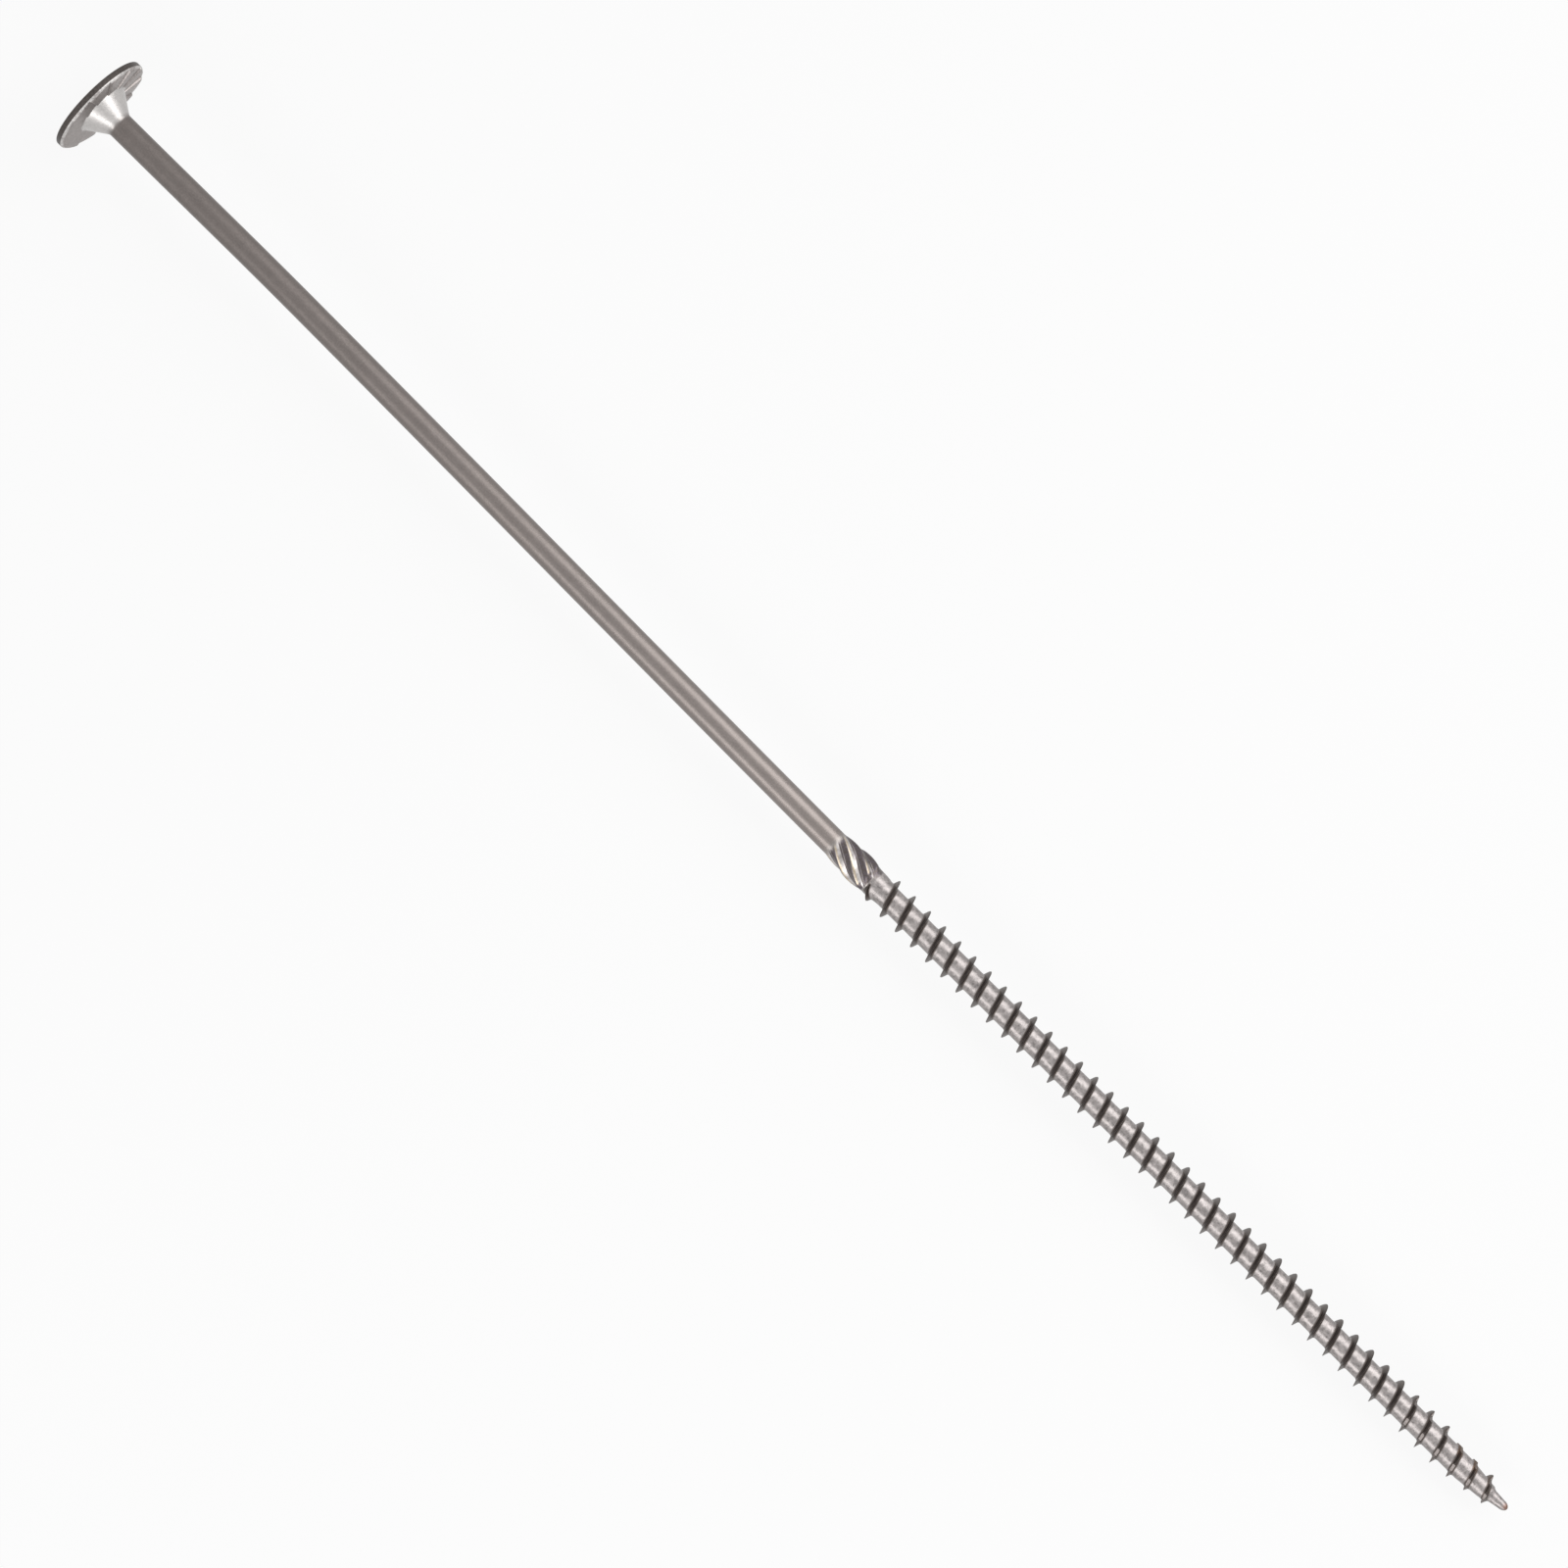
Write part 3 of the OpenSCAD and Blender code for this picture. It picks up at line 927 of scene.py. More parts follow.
@dataclass
class WoodThread:
    """Coarse single-start thread with its core, notched turns, one-sided gash and point."""

    start_z: float = 222.45
    first_crest_z: float = 222.4
    length_over_all: float = 400.0
    pitch: float = 4.31
    diameter: float = 7.9
    crest_over: float = 0.06
    core_diameter: float = 5.06
    foot_width: float = 1.9
    flank_width: float = 0.76
    foot_height: float = 0.22
    core_steps: tuple[float, float] = (1.3, 1.75)
    crest_shape: tuple[tuple[float, float], ...] = ((0.0, 1.0), (0.045, 0.965), (0.09, 0.86))
    behind_cutter_diameter: float = 5.8
    behind_cutter_length: float = 3.5
    run_in_turns: float = 0.8
    run_out_turns: float = 0.3
    run_out_step: int = 20
    taper_length: float = 15.6
    last_turn_diameter: float = 4.8
    core_taper_length: float = 11.4
    core_end_diameter: float = 3.6
    pilot_length: float = 4.0
    pilot_step_length: float = 0.6
    pilot_diameter: float = 2.7
    pilot_end_diameter: float = 2.0
    nose_length: float = 1.5
    columns_per_turn: int = 60
    lead_in_turns: float = 1.0
    spare_turns: float = 3.0
    first_angle: float = 189.0
    packed_column_angle: float = 18.0
    seam: float = 0.05

    # Notches: their place and shape are shares of the gap from one to the next.
    notched_length: float = 30.3
    notch_depth: float = 0.74
    notches_per_turn: int = 4
    notch_phase: float = 0.03
    notch_shape: tuple[float, float, float, float] = (0.0, 0.1, 0.42, 0.6)
    notch_mark: float = 0.05

    # Gash and burr: both are on the side where the sine of the direction is high.
    gash_length: float = 8.0
    gash_end: float = 8.5
    gash_height: float = 2.88
    gash_side: float = 0.5
    burr_height: float = 0.5
    burr_start_z: float = 392.2
    burr_full_z: float = 393.8
    burr_end_z: float = 394.2
    burr_side: tuple[float, float] = (0.2, 0.9)

    # Drift: the crests stand ahead of an even pitch by the advance, and fall back again by the
    # third number of each stretch between its first and its second.
    advance: float = 0.96
    advance_length: float = 0.9
    wander: tuple[tuple[float, float, float], ...] = (
        (230.0, 312.0, 0.72),
        (312.0, 361.0, 0.24),
        (361.0, 380.0, 0.25),
        (396.0, 398.5, -0.25),
    )

    @property
    def nose_z(self) -> float:
        """Height at which the end starts to round."""
        return self.length_over_all - self.nose_length

    @property
    def gash_z(self) -> float:
        """Height at which the gash starts."""
        return self.length_over_all - self.gash_end - self.gash_length

    @property
    def turns(self) -> float:
        """Turns from the first crest to the last."""
        last = self.nose_z - self.foot_width / 2 - self.seam
        turns = (last - self.first_crest_z) / self.pitch
        return math.floor(turns * self.run_out_step) / self.run_out_step

    @property
    def rest_z(self) -> float:
        """Height of the last full crest that faces the floor, on which the screw lies."""
        taper_z = self.length_over_all - self.taper_length
        share = (360 - self.first_angle) / 360
        turns = math.floor((taper_z - self.first_crest_z) / self.pitch - share) + share
        return self.first_crest_z + turns * self.pitch

    @property
    def rest_radius(self) -> float:
        """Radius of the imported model's flat between two columns, on which the screw lies."""
        return self.diameter / 2 * math.cos(math.radians(self.packed_column_angle / 2))

    def section(self) -> bpy.types.Mesh:
        """The ridge's cross-section over one pitch: place along the axis and share of height."""
        full = (self.diameter - self.core_diameter) / 2
        flank, foot = self.flank_width / 2, self.foot_width / 2
        low = self.foot_height / full
        half = list(self.crest_shape)
        side, high = half[-1]
        for t in (0.3, 0.5, 0.7, 0.87, 1.0):
            half.append((side + (flank - side) * t, high + (low - high) * t))
        half += [(flank + (foot - flank) * t, low * (1 - t) ** 2) for t in (0.25, 0.55, 1.0)]
        half += [(x, 0.0) for x in (*self.core_steps, self.pitch / 2)]
        rows = [(-x, h, 0.0) for x, h in reversed(half[1:])] + [(x, h, 0.0) for x, h in half]
        mesh = bpy.data.meshes.new("thread_section")
        mesh.from_pydata(rows, [(i, i + 1) for i in range(len(rows) - 1)], [])
        return mesh

    def mesh(self, finish: bpy.types.Material) -> bpy.types.Mesh:
        """Sweeps the section along the helix with Geometry Nodes.

        Args:
            finish: the thread's material.

        Returns:
            The threaded end as a tube, open at its start and where the nose begins.
        """
        section = self.section()
        recipe = Recipe("wood_thread_helix")
        nodes = recipe.nodes
        rows = recipe.count("Section Points", len(section.vertices))
        per_turn = recipe.count("Columns per Turn", self.columns_per_turn)
        turns = recipe.count("Turns", math.ceil(self.turns + self.spare_turns))
        pitch = recipe.size("Pitch", self.pitch)
        first_z = recipe.size("First Crest", self.first_crest_z)
        start = recipe.size("Start", self.start_z)
        stop = recipe.size("Nose Start", self.nose_z)
        crest_full = recipe.size("Crest Radius", self.diameter / 2 + self.crest_over)
        core_full = recipe.size("Core Radius", self.core_diameter / 2)
        grid, across, onward = recipe.grid(rows, turns * per_turn + 1.0)
        row = (across * (rows - 1.0) + 0.5).floor()
        turn = (onward * turns * per_turn + 0.5).floor() / per_turn - self.lead_in_turns
        offset, height, _ = recipe.section_point(row)
        column_z = first_z + turn * pitch
        z = (column_z + offset).most(start).least(stop)
        straight = Blend.STRAIGHT
        crest = crest_full - self.crest_drop(column_z)
        grow = turn.ramp(0.0, self.run_in_turns, blend=straight).root().root()
        fade = turn.fall(self.turns - self.run_out_turns, self.turns, straight)
        notch_turn = (turn * self.notches_per_turn + self.notch_phase) % 1.0
        bite = notch_turn.within(*self.notch_shape, straight)
        bite = bite * (column_z > (self.length_over_all - self.notched_length))
        cut_height = 1.0 - bite * self.notch_depth
        bare = height > cut_height
        rise = (crest - core_full - self.core_change(column_z)) * grow * fade
        angle = turn * FULL_TURN + math.radians(self.first_angle)
        side = angle.sin()
        burr = column_z.within(
            self.burr_start_z, self.burr_full_z, self.burr_full_z, self.burr_end_z
        )
        rise = rise + burr * self.burr_height * side.ramp(*self.burr_side) * fade
        radius = core_full + self.core_change(z) + rise * height.least(cut_height)
        in_gash = (z > self.gash_z) * (z < self.gash_z + self.gash_length)
        in_gash = in_gash * (side > self.gash_side)
        flat = self.gash_height / side.most(self.gash_side)
        radius = radius.least(flat + (1.0 - in_gash) * self.diameter)
        drawn_z = z + self.drift(column_z, offset) * z.within(
            self.start_z, self.start_z + self.seam, self.nose_z - self.seam, self.nose_z
        )
        moved = nodes.vector(radius * angle.cos(), radius * angle.sin(), drawn_z)
        ridge = (height * (1.0 - bare) + bare * self.notch_mark) * grow * fade
        recipe.end(recipe.shape(nodes.mark(grid, RIDGE_LAYER, ridge), moved), finish)
        return recipe.run(section)

    def crest_drop(self, column_z: Value) -> Value:
        """How far the crest has come down from its full radius, at a crest's own height."""
        taper_z = self.length_over_all - self.taper_length
        pilot_z = self.length_over_all - self.pilot_length
        drop = (self.diameter - self.last_turn_diameter) / 2
        return column_z.ramp(taper_z, pilot_z, 0.0, drop, Blend.STRAIGHT)

    def core_change(self, at: Value) -> Value:
        """How far the core's radius is from its full one.

        Args:
            at: height along the axis.

        Returns:
            More than 0 behind the cutter, and less on the taper and the pilot.
        """
        taper_z = self.length_over_all - self.core_taper_length
        pilot_z = self.length_over_all - self.pilot_length
        step_z = pilot_z - self.pilot_step_length
        behind_z = self.start_z + self.behind_cutter_length
        behind = (self.behind_cutter_diameter - self.core_diameter) / 2
        down = (self.core_diameter - self.core_end_diameter) / 2
        step = (self.core_end_diameter - self.pilot_diameter) / 2
        end = (self.pilot_diameter - self.pilot_end_diameter) / 2
        straight = Blend.STRAIGHT
        return (
            at.ramp(self.start_z, behind_z, behind, 0.0)
            - at.ramp(taper_z, step_z, 0.0, down, straight)
            - at.ramp(step_z, pilot_z, 0.0, step, straight)
            - at.ramp(pilot_z, self.nose_z, 0.0, end, straight)
        )

    def drift(self, column_z: Value, offset: Value) -> Value:
        """How far a point stands ahead of an even pitch.

        Args:
            column_z: height of the crest that the point belongs to.
            offset: the point's place along the axis from that crest.

        Returns:
            The same for a whole ridge, and running on evenly over the core between two.
        """
        near_core = offset.size().ramp(self.foot_width / 2, self.foot_width)
        base = column_z + offset * near_core
        drift = base.ramp(self.start_z, self.start_z + self.advance_length, 0.0, self.advance)
        for low, high, back in self.wander:
            drift = drift - base.ramp(low, high, 0.0, back, Blend.STRAIGHT)
        return drift

    def nose(self, skin: Skin) -> None:
        """Closes the point with its rounded end."""
        rim = skin.open_ring(self.nose_z)
        steps = 7
        rings = [rim]
        for k in range(1, steps):
            a = math.pi / 2 * k / steps
            scale = math.cos(a)
            height = self.nose_z + self.nose_length * math.sin(a)
            rings.append(
                skin.ring(Vector((v.co.x * scale, v.co.y * scale, height)) for v in rim)
            )
        skin.tube(rings)
        skin.cap(rings[-1], Vector((0, 0, self.length_over_all)))
        log.info("point: pilot ends at radius %.2f mm", self.pilot_end_diameter / 2)

    def build(self, skin: Skin, finish: bpy.types.Material) -> None:
        """Adds the threaded end with its point, open only at its start."""
        skin.add(self.mesh(finish))
        self.nose(skin)
        log.info("wood thread: %.1f turns of %.2f mm pitch", self.turns, self.pitch)


@dataclass(frozen=True)
class SteelTone:
    """Colour and gloss of the steel in one zone of the screw."""

    colour: tuple[float, float, float]
    roughness: float


@dataclass(frozen=True)
class BareSteel:
    """Matt rolled steel, with painted reflections on the neck and the rim's lower edge, painted
    highlights and shade on the cutter, painted shade on the rim wall, in the recess and on the
    thread's flanks, and a shank painted lighter towards the cutter.
    """

    flange: SteelTone = SteelTone((0.300, 0.274, 0.264), 0.44)
    # wall: painted shade, for the rim wall and, at a share of 0.8, in the drive recess.
    wall: SteelTone = SteelTone((0.085, 0.075, 0.070), 0.45)
    # neck: far lighter than the shank, a painted reflection on the neck's cone.
    neck: SteelTone = SteelTone((0.490, 0.472, 0.460), 0.33)
    shank: SteelTone = SteelTone((0.178, 0.157, 0.148), 0.38)
    cutter: SteelTone = SteelTone((0.300, 0.276, 0.262), 0.36)
    core: SteelTone = SteelTone((0.298, 0.274, 0.268), 0.39)
    # flank: painted shade, dark on the thread's flanks and as the base of the cutter's painted
    # shade.
    flank: SteelTone = SteelTone((0.105, 0.088, 0.080), 0.42)
    # painted_highlight and straw_highlight: painted highlights on the lit side of the cutter's
    # ridges, the straw-coloured one near their crests.
    painted_highlight: tuple[float, float, float] = (0.560, 0.530, 0.520)
    straw_highlight: tuple[float, float, float] = (0.520, 0.400, 0.230)
    # violet: mixed at random into the painted shade on the cutter.
    violet: tuple[float, float, float] = (0.118, 0.102, 0.116)
    scorched: tuple[float, float, float] = (0.135, 0.088, 0.062)
    rust: tuple[float, float, float] = (0.210, 0.085, 0.045)
    relief_depth: float = 0.03

    @staticmethod
    def own_place(nodes: Nodes, place: "RestPlace") -> bpy.types.NodeSocket:
        """Object coordinates turned back to the screw's own frame.

        Args:
            nodes: the material's nodes.
            place: how the screw lies.

        Returns:
            The place on the screw, in millimetres.
        """
        inputs = {
            "Vector": nodes.add("ShaderNodeTexCoord").out("Object"),
            "Location": (place.shift * MM, 0.0, place.lift * MM),
            "Rotation": (0.0, math.pi / 2 + place.tilt, 0.0),
            "Scale": (MM, MM, MM),
        }
        return nodes.add("ShaderNodeMapping", {"vector_type": "TEXTURE"}, inputs).out()

    def build(self, screw: "StructuralScrew") -> bpy.types.Material:
        """Makes the steel's material.

        Args:
            screw: the screw, whose places along its axis bound the zones.

        Returns:
            The material.
        """
        material = bpy.data.materials.new("rolled_steel")
        nodes = Nodes.cleared(material)
        own = self.own_place(nodes, screw.place())
        x, y, along = nodes.parts(own)
        radius = (x * x + y * y).root()
        ridge = nodes.add("ShaderNodeAttribute", {"attribute_name": RIDGE_LAYER}).value("Fac")
        lee = nodes.add("ShaderNodeAttribute", {"attribute_name": FLANK_LAYER}).value("Fac")

        grain = nodes.noise(own, 2.6, 3.0, 0.6)
        fine = nodes.noise(own, 6.0, 2.0, 0.6)
        blotch = nodes.noise(own, 0.55, 2.0, 0.5)
        patch = nodes.noise(own, 1.4, 3.0, 0.65) - 0.5
        streak = nodes.noise(nodes.times(own, (1.0, 1.0, 0.045)), 3.2, 3.0, 0.6)

        # Head: crown and underside; drive recess and rim wall in painted shade; painted highlight
        # on the rim's lower edge; neck with a painted reflection.
        head, recess = screw.head, screw.head.recess
        rim, seat, neck = head.rim_z, head.seat_z, head.neck_end_z
        seat_r, mouth_r = head.neck_diameter / 2, recess.lobe_diameter / 2 + recess.bevel
        under_seat = along.fall(seat, seat + 0.4) * radius.ramp(seat_r + 0.1, seat_r + 0.6)
        on_flange = under_seat.most(along.fall(head.crown_height + 0.5, head.crown_height + 0.8))
        # Painted shade in the drive recess.
        in_drive = along.within(0.25, 0.6, recess.depth + 0.3, recess.depth + 0.6)
        in_drive = in_drive * radius.fall(mouth_r - 0.225, mouth_r + 0.125)
        # Painted shade on the rim wall.
        on_wall = radius.ramp(head.radius - 0.15, head.radius - 0.03) * along.fall(rim - 0.12, rim)
        # A painted highlight along the rim's lower edge, in the neck's colour and broken up by
        # noise.
        edge_highlight = along.within(rim - 0.1, rim, rim + 0.35, rim + 0.5)
        edge_highlight = edge_highlight * radius.ramp(head.radius - 0.5, head.radius - 0.35)
        edge_highlight = edge_highlight * blotch.ramp(0.38, 0.5, 0.35, 1.0)
        # The neck gets its lighter colour as a painted reflection.
        on_neck = along.within(rim, seat, neck - 1.2, neck + 0.3)
        on_neck = on_neck * (1.0 - on_flange) * (1.0 - in_drive)

        # Cutter: painted highlights on one side of the ridges, painted shade on the other and in
        # the valleys between them, on the upper side of a stretch and on the ridges' end faces,
        # and a painted shadow where it meets the thread.
        first_z, last_z = screw.cutter.start_z, screw.cutter.end_z
        on_cutter = along.ramp(first_z - 0.5, first_z + 0.7)
        cut = along.within(first_z + 0.3, first_z + 1.4, last_z - 0.15, last_z + 0.15)
        # Painted shade on the ridges' end faces near the cutter's end.
        faces = along.ramp(last_z - 1.5, last_z - 1.0) * ridge.ramp(0.15, 0.4)
        # A painted shadow on the upper side where the cutter meets the thread.
        shadow = along.within(last_z - 1.3, last_z - 0.7, last_z + 0.4, last_z + 1.0)
        shadow = shadow * y.ramp(-0.4, 1.0)
        shaded = (lee * 0.9 + ridge * 0.7 - 0.35).ramp(0.1, 0.4)
        # Painted shade in the valleys between the ridges.
        valley = ridge.fall(0.012, 0.045)
        # lit: the side of the cutter's ridges that is given a painted highlight.
        lit = (0.0 - lee).ramp(0.15, 0.6)
        # Painted shade on the upper side of a middle stretch of the cutter.
        upper_shade = along.within(first_z + 3.1, first_z + 4.7, last_z - 2.9, last_z - 1.8)
        upper_shade = upper_shade * y.ramp(1.2, 1.8)
        # The colour of the painted shade, mixed at random with violet.
        painted_shade = nodes.mix(grain.ramp(0.35, 0.65), self.flank.colour, self.violet)

        # Thread: core, flanks in painted shade, the scorched crests of the gash, and the rusty end
        # of the point.
        thread = screw.thread
        gash_z, gash_end_z = thread.gash_z, thread.gash_z + thread.gash_length
        on_thread = along.ramp(thread.start_z - 0.2, thread.start_z + 0.2)
        on_flank = on_thread * ridge.ramp(0.008, 0.08)
        on_core = on_thread - on_flank
        trimmed = along.within(gash_z - 2.5, gash_z - 0.5, gash_end_z + 0.5, gash_end_z + 2.5)
        trimmed = trimmed * y.ramp(0.8, 2.0)
        on_tip = along.ramp(thread.length_over_all - 1.8, thread.length_over_all - 0.4)

        # Painted light: the shank is painted darker near the head and lighter towards the cutter.
        shank_painted_light = along.ramp(30.0, 205.0, 0.95, 1.35, Blend.STRAIGHT)
        colour = nodes.tint(self.shank.colour, shank_painted_light)
        for share, tone in (
            (on_flange, self.flange.colour),
            (on_wall.most(in_drive * 0.8), self.wall.colour),
            # painted highlight on the rim's lower edge
            (edge_highlight, self.neck.colour),
            (on_neck, self.neck.colour),
            (on_cutter, self.cutter.colour),
            (cut * lit * blotch.ramp(0.35, 0.6, 0.15, 0.8), self.painted_highlight),
            (cut * lit * ridge.ramp(0.5, 0.85) * 0.55, self.straw_highlight),
            (cut * shaded.most(valley).most(upper_shade * 0.8).most(faces), painted_shade),
            (on_thread, self.core.colour),
            # painted shade on the thread's flanks
            (on_flank, self.flank.colour),
            (shadow * 0.75, painted_shade),
            (on_flank * trimmed * 0.7, self.scorched),
            (on_tip * y.ramp(-0.2, 0.6) * 0.7, self.rust),
        ):
            colour = nodes.mix(share, colour, tone)
        shade = 0.62 + grain * 0.42 + blotch * 0.2 + streak * 0.14
        shade = shade + on_core * patch * 1.7 + on_flange * (grain - 0.5) * 0.9

        rough = self.shank.roughness
        for share, tone, under in (
            (on_flange, self.flange, self.shank),
            (on_neck, self.neck, self.shank),
            (on_cutter, self.cutter, self.shank),
            (on_thread, self.core, self.shank),
            (on_flank, self.flank, self.core),
        ):
            rough = rough + share * (tone.roughness - under.roughness)
        rough = rough + (grain - 0.5) * 0.18 + on_core * patch * 0.35

        relief = fine + grain * 0.8 + streak * 0.6
        inputs = {"Height": relief, "Strength": 0.35, "Distance": self.relief_depth * MM}
        bump = nodes.add("ShaderNodeBump", {}, inputs).out()
        inputs = {"Base Color": nodes.tint(colour, shade), "Metallic": 1.0}
        inputs.update({"Roughness": rough, "Normal": bump})
        steel = nodes.add("ShaderNodeBsdfPrincipled", {}, inputs).out()
        nodes.add("ShaderNodeOutputMaterial", {}, {"Surface": steel})
        return material


@dataclass
class RestPlace:
    """How the screw lies: on the rim of its head and on one crest of its thread."""

    head_radius: float
    rim_z: float
    land_radius: float
    thread_radius: float
    rest_z: float
    length: float

    @property
    def tilt(self) -> float:
        """Angle between the screw's axis and the floor, in radians."""
        return math.atan((self.head_radius - self.thread_radius) / (self.rest_z - self.rim_z))

    @property
    def lift(self) -> float:
        """Height of the crown's centre over the floor, in millimetres."""
        return self.head_radius * math.cos(self.tilt) + self.rim_z * math.sin(self.tilt)

    @property
    def shift(self) -> float:
        """Place of the crown's centre along X, in millimetres."""
        return (self.land_radius * math.sin(self.tilt) - self.length * math.cos(self.tilt)) / 2

    @property
    def matrix(self) -> Matrix:
        """From the screw's frame in millimetres to the row frame in metres."""
        turn = Matrix.Rotation(math.pi / 2 + self.tilt, 4, "Y")
        move = Matrix.Translation((self.shift * MM, 0.0, self.lift * MM))
        return move @ turn @ Matrix.Scale(MM, 4)

    def point(self, along: float, side: float = 0.0, towards: float = 0.0) -> Vector:
        """A point in the row frame.

        Args:
            along: place along the screw's axis, in millimetres.
            side: offset towards +Y, in millimetres.
            towards: offset away from the floor, square to the axis, in millimetres.

        Returns:
            The point, in metres.
        """
        return self.matrix @ Vector((-towards, side, along))


@dataclass
class StructuralScrew:
    """The whole screw: head, shank, cutter, thread and point as one closed skin."""

    head: FlangeHead = field(default_factory=FlangeHead)
    cutter: ShankCutter = field(default_factory=ShankCutter)
    thread: WoodThread = field(default_factory=WoodThread)
    bend: Bend = field(default_factory=Bend)
    shank_rings: int = 60
    seam: float = 0.4
    sharp_angle: float = 32.0

    def place(self) -> RestPlace:
        """Works out how the screw lies from its own sizes."""
        return RestPlace(
            head_radius=self.head.radius,
            rim_z=self.head.rim_z,
            land_radius=self.head.land_diameter / 2,
            thread_radius=self.thread.rest_radius,
            rest_z=self.thread.rest_z,
            length=self.thread.length_over_all,
        )

    def shank(self, skin: Skin) -> None:
        """Joins head, cutter and thread with the plain shank and the seams."""
        neck = skin.open_ring(self.head.neck_end_z)
        cutter_start = skin.open_ring(self.cutter.start_z)
        count = self.cutter.ridge_count * self.cutter.steps_per_ridge
        angles = [a - math.pi for a in even_angles(count)]
        start = self.head.neck_end_z + self.seam
        end = self.cutter.start_z - self.seam
        steps = range(self.shank_rings + 1)
        heights = [start + (end - start) * k / self.shank_rings for k in steps]
        radius = self.head.shank_diameter / 2
        rings = [skin.ring(ring_points(radius, z, angles)) for z in heights]
        skin.tube(rings)
        skin.zip(neck, rings[0])
        skin.zip(rings[-1], cutter_start)
        log.info("plain shank: %.1f mm long", end - start)

    def build(self) -> bpy.types.Object:
        """Builds and dresses the screw.

        Returns:
            The finished piece, with its object at the origin.
        """
        place = self.place()
        steel = BareSteel().build(self)
        skin = Skin()
        self.cutter.build(skin, steel)
        self.thread.build(skin, steel)
        skin.zip(skin.open_ring(self.cutter.end_z), skin.open_ring(self.thread.start_z))
        self.head.build(skin, steel)
        self.shank(skin)
        mesh = skin.finish(PIECE_NAME, self.bend, place.matrix)
        mesh.materials.append(steel)
        mesh.shade_smooth()
        mesh.set_sharp_from_angle(angle=math.radians(self.sharp_angle))
        return show(PIECE_NAME, mesh)


@dataclass
class Softbox:
    """A rectangular lamp that faces the screw."""

    name: str
    centre: tuple[float, float, float]
    target: tuple[float, float, float]
    size: tuple[float, float]
    power: float

    def build(self) -> None:
        """Adds the lamp to the scene."""
        lamp = bpy.data.lights.new(self.name, "AREA")
        lamp.shape = "RECTANGLE"
        lamp.size, lamp.size_y = self.size
        lamp.energy = self.power
        holder = show(self.name, lamp)
        holder.location = self.centre
        away = Vector(self.centre) - Vector(self.target)
        holder.rotation_mode = "QUATERNION"
        holder.rotation_quaternion = away.to_track_quat("Z", "Y")


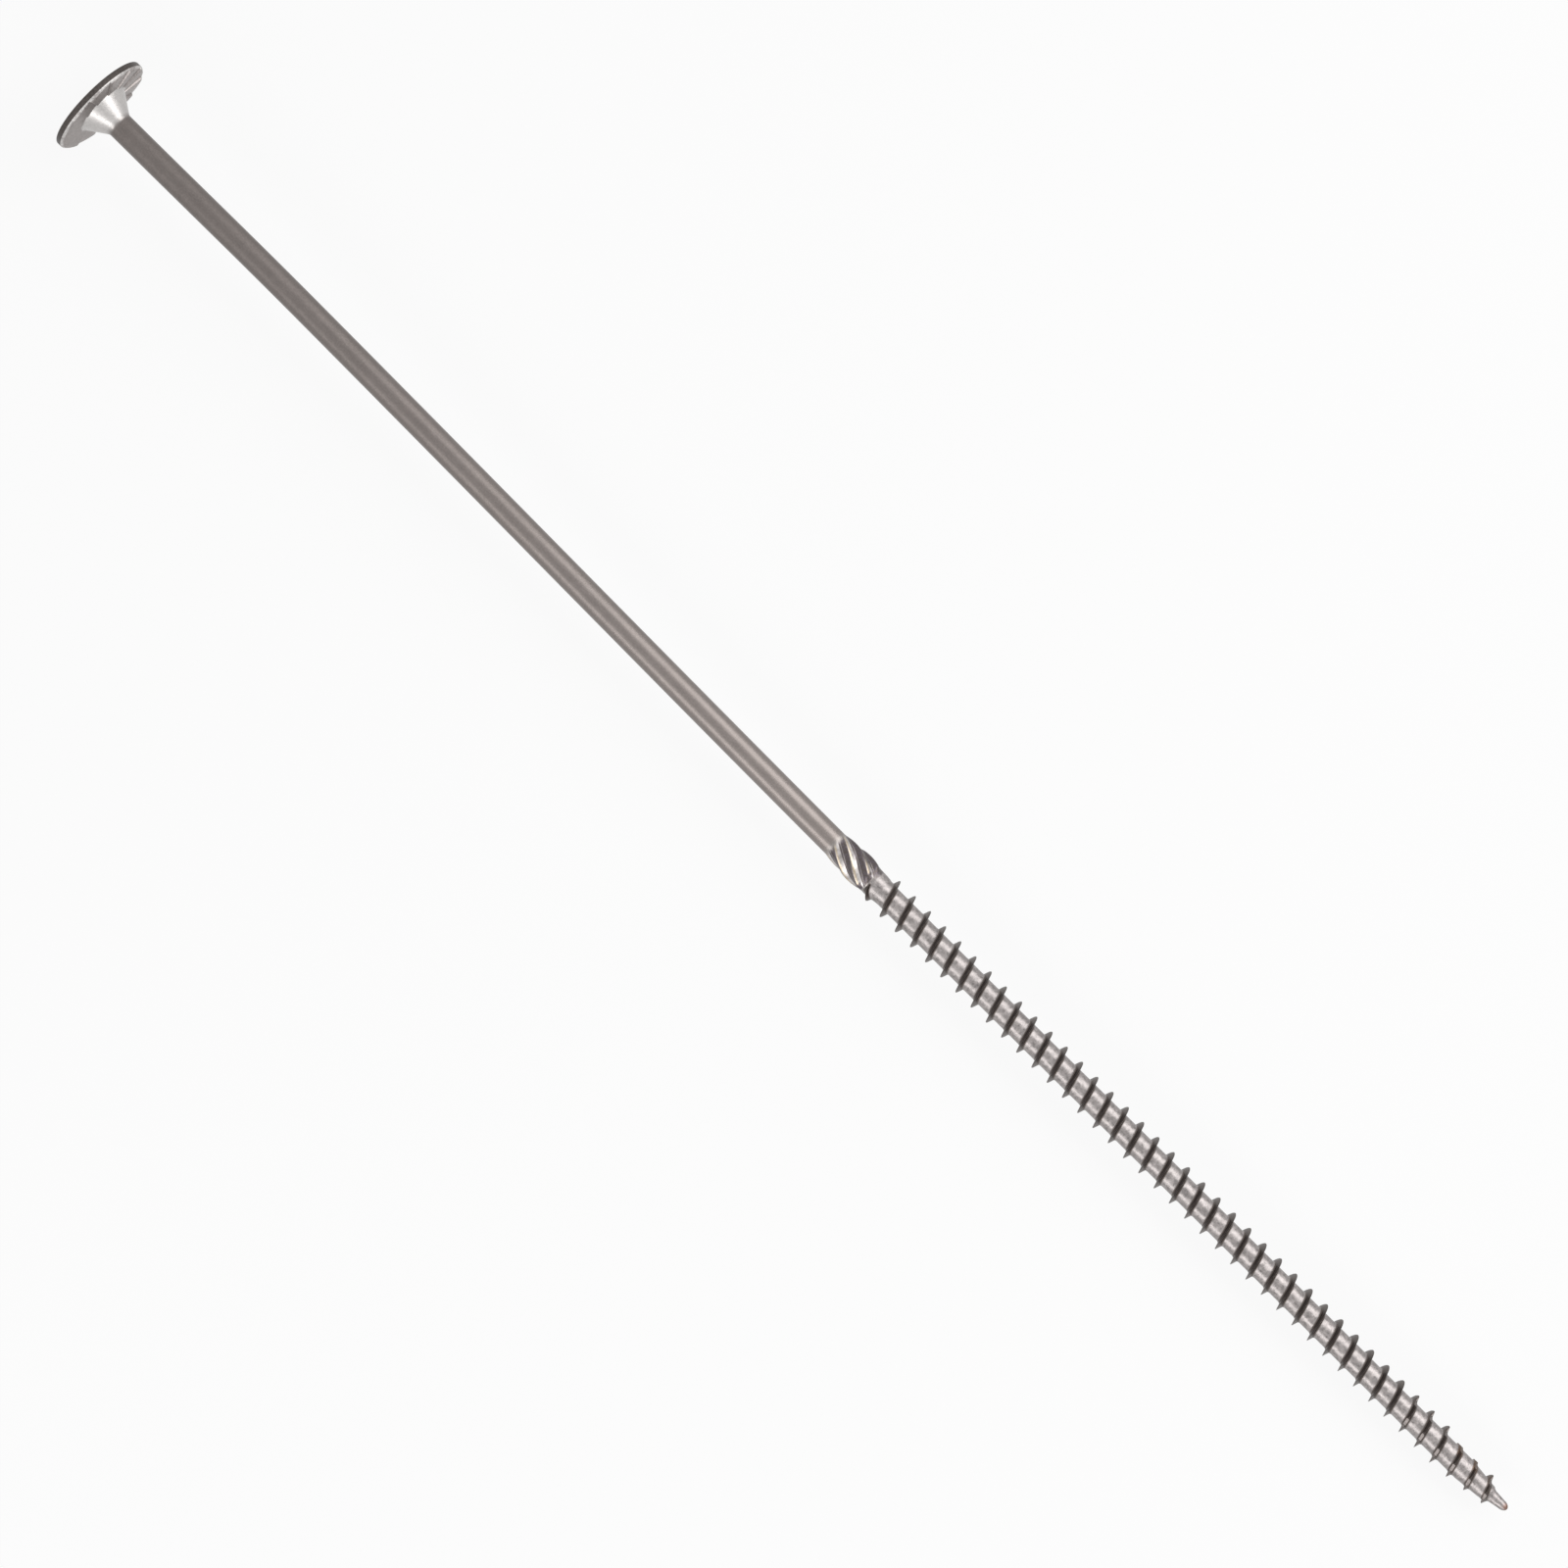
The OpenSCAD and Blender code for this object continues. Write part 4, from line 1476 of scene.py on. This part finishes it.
@dataclass
class Studio:
    """Pale floor, soft lamps and the camera of the photograph.

    The camera stands away from the floor over one place of the axis and looks at another, both
    with the same sideways offset. The roll is how much of the screw's direction and of the
    sideways one makes up the picture's direction to the right.
    """

    floor_size: float = 30.0
    floor_drop: float = 0.05
    floor_colour: float = 0.9
    floor_glow: float = 0.9
    sky: float = 0.32
    lens: float = 113.0
    sensor: float = 36.0
    nearest: float = 0.01
    distance: float = 986.0
    over_along: float = 236.5
    aim_along: float = 196.23
    aim_side: float = 0.85
    roll: tuple[float, float] = (0.70680, 0.70742)

    @staticmethod
    def looked_at(nodes: Nodes) -> Value:
        """1 for rays of the eye, of reflections and through clear pieces, else 0."""
        path = nodes.add("ShaderNodeLightPath")
        eye, gloss = path.value("Is Camera Ray"), path.value("Is Glossy Ray")
        return eye.most(gloss).most(path.value("Is Transmission Ray"))

    def floor(self) -> None:
        """Adds the floor, white to the eye and in reflections, with the screw's shadow."""
        half, height = self.floor_size / 2, -self.floor_drop * MM
        sides = ((-half, -half), (half, -half), (half, half), (-half, half))
        mesh = bpy.data.meshes.new("floor")
        mesh.from_pydata([(x, y, height) for x, y in sides], [], [(0, 1, 2, 3)])
        material = bpy.data.materials.new("pale_floor")
        nodes = Nodes.cleared(material)
        share = self.looked_at(nodes) * self.floor_glow
        grey = (self.floor_colour, self.floor_colour, self.floor_colour, 1.0)
        cloth = nodes.add("ShaderNodeBsdfDiffuse", {}, {"Color": grey}).out()
        white = nodes.add("ShaderNodeEmission", {}, {"Color": WHITE, "Strength": 1.0}).out()
        mixed = nodes.add("ShaderNodeMixShader", {}, {0: share, 1: cloth, 2: white}).out()
        nodes.add("ShaderNodeOutputMaterial", {}, {"Surface": mixed})
        mesh.materials.append(material)
        floor = show("floor", mesh)

    def world(self) -> None:
        """Gives the sky an even pale level."""
        world = bpy.data.worlds.new("studio")
        nodes = Nodes.cleared(world)
        level = self.sky + self.looked_at(nodes) * (1.0 - self.sky)
        sky = nodes.add("ShaderNodeBackground", {}, {"Color": WHITE, "Strength": level}).out()
        nodes.add("ShaderNodeOutputWorld", {}, {"Surface": sky})
        bpy.context.scene.world = world

    def lamps(self) -> list[Softbox]:
        """Two long soft boxes, one on each side, which reach from the shank past the point."""
        aim = (0.5, 0.0, 0.01)
        return [
            Softbox("box_upper", (0.5, 0.69, 0.58), aim, (1.3, 0.7), 7.0),
            Softbox("box_lower", (0.5, -0.76, 0.48), aim, (1.3, 0.35), 4.2),
        ]

    def camera(self, place: RestPlace) -> None:
        """Sets the camera over the screw, turned so that it lies across the picture.

        Args:
            place: how the screw lies.
        """
        spot = place.point(self.over_along, self.aim_side, self.distance)
        back = (spot - place.point(self.aim_along, self.aim_side)).normalized()
        side = Vector((0.0, 1.0, 0.0))
        along = side.cross(back)
        right = along * self.roll[0] + side * self.roll[1]
        up = back.cross(right)
        lens = bpy.data.cameras.new("camera")
        lens.lens = self.lens
        lens.sensor_width = self.sensor
        lens.clip_start = self.nearest
        camera = show("camera", lens)
        turn = Matrix((right, up, back)).transposed().to_4x4()
        camera.matrix_world = Matrix.Translation(spot) @ turn
        bpy.context.scene.camera = camera

    def build(self, place: RestPlace) -> None:
        """Adds the floor, the sky, the lamps and the camera."""
        self.camera(place)
        self.floor()
        self.world()
        for lamp in self.lamps():
            lamp.build()
        bpy.context.scene.view_settings.view_transform = "Standard"


def main() -> None:
    """Builds the studio and the screw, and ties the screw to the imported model."""
    logging.basicConfig(level=logging.INFO, format="%(message)s")
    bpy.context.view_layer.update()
    screw = StructuralScrew()
    Studio().build(screw.place())
    piece = screw.build()
    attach(piece, "root")
    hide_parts("screw")


if __name__ == "__main__":
    main()
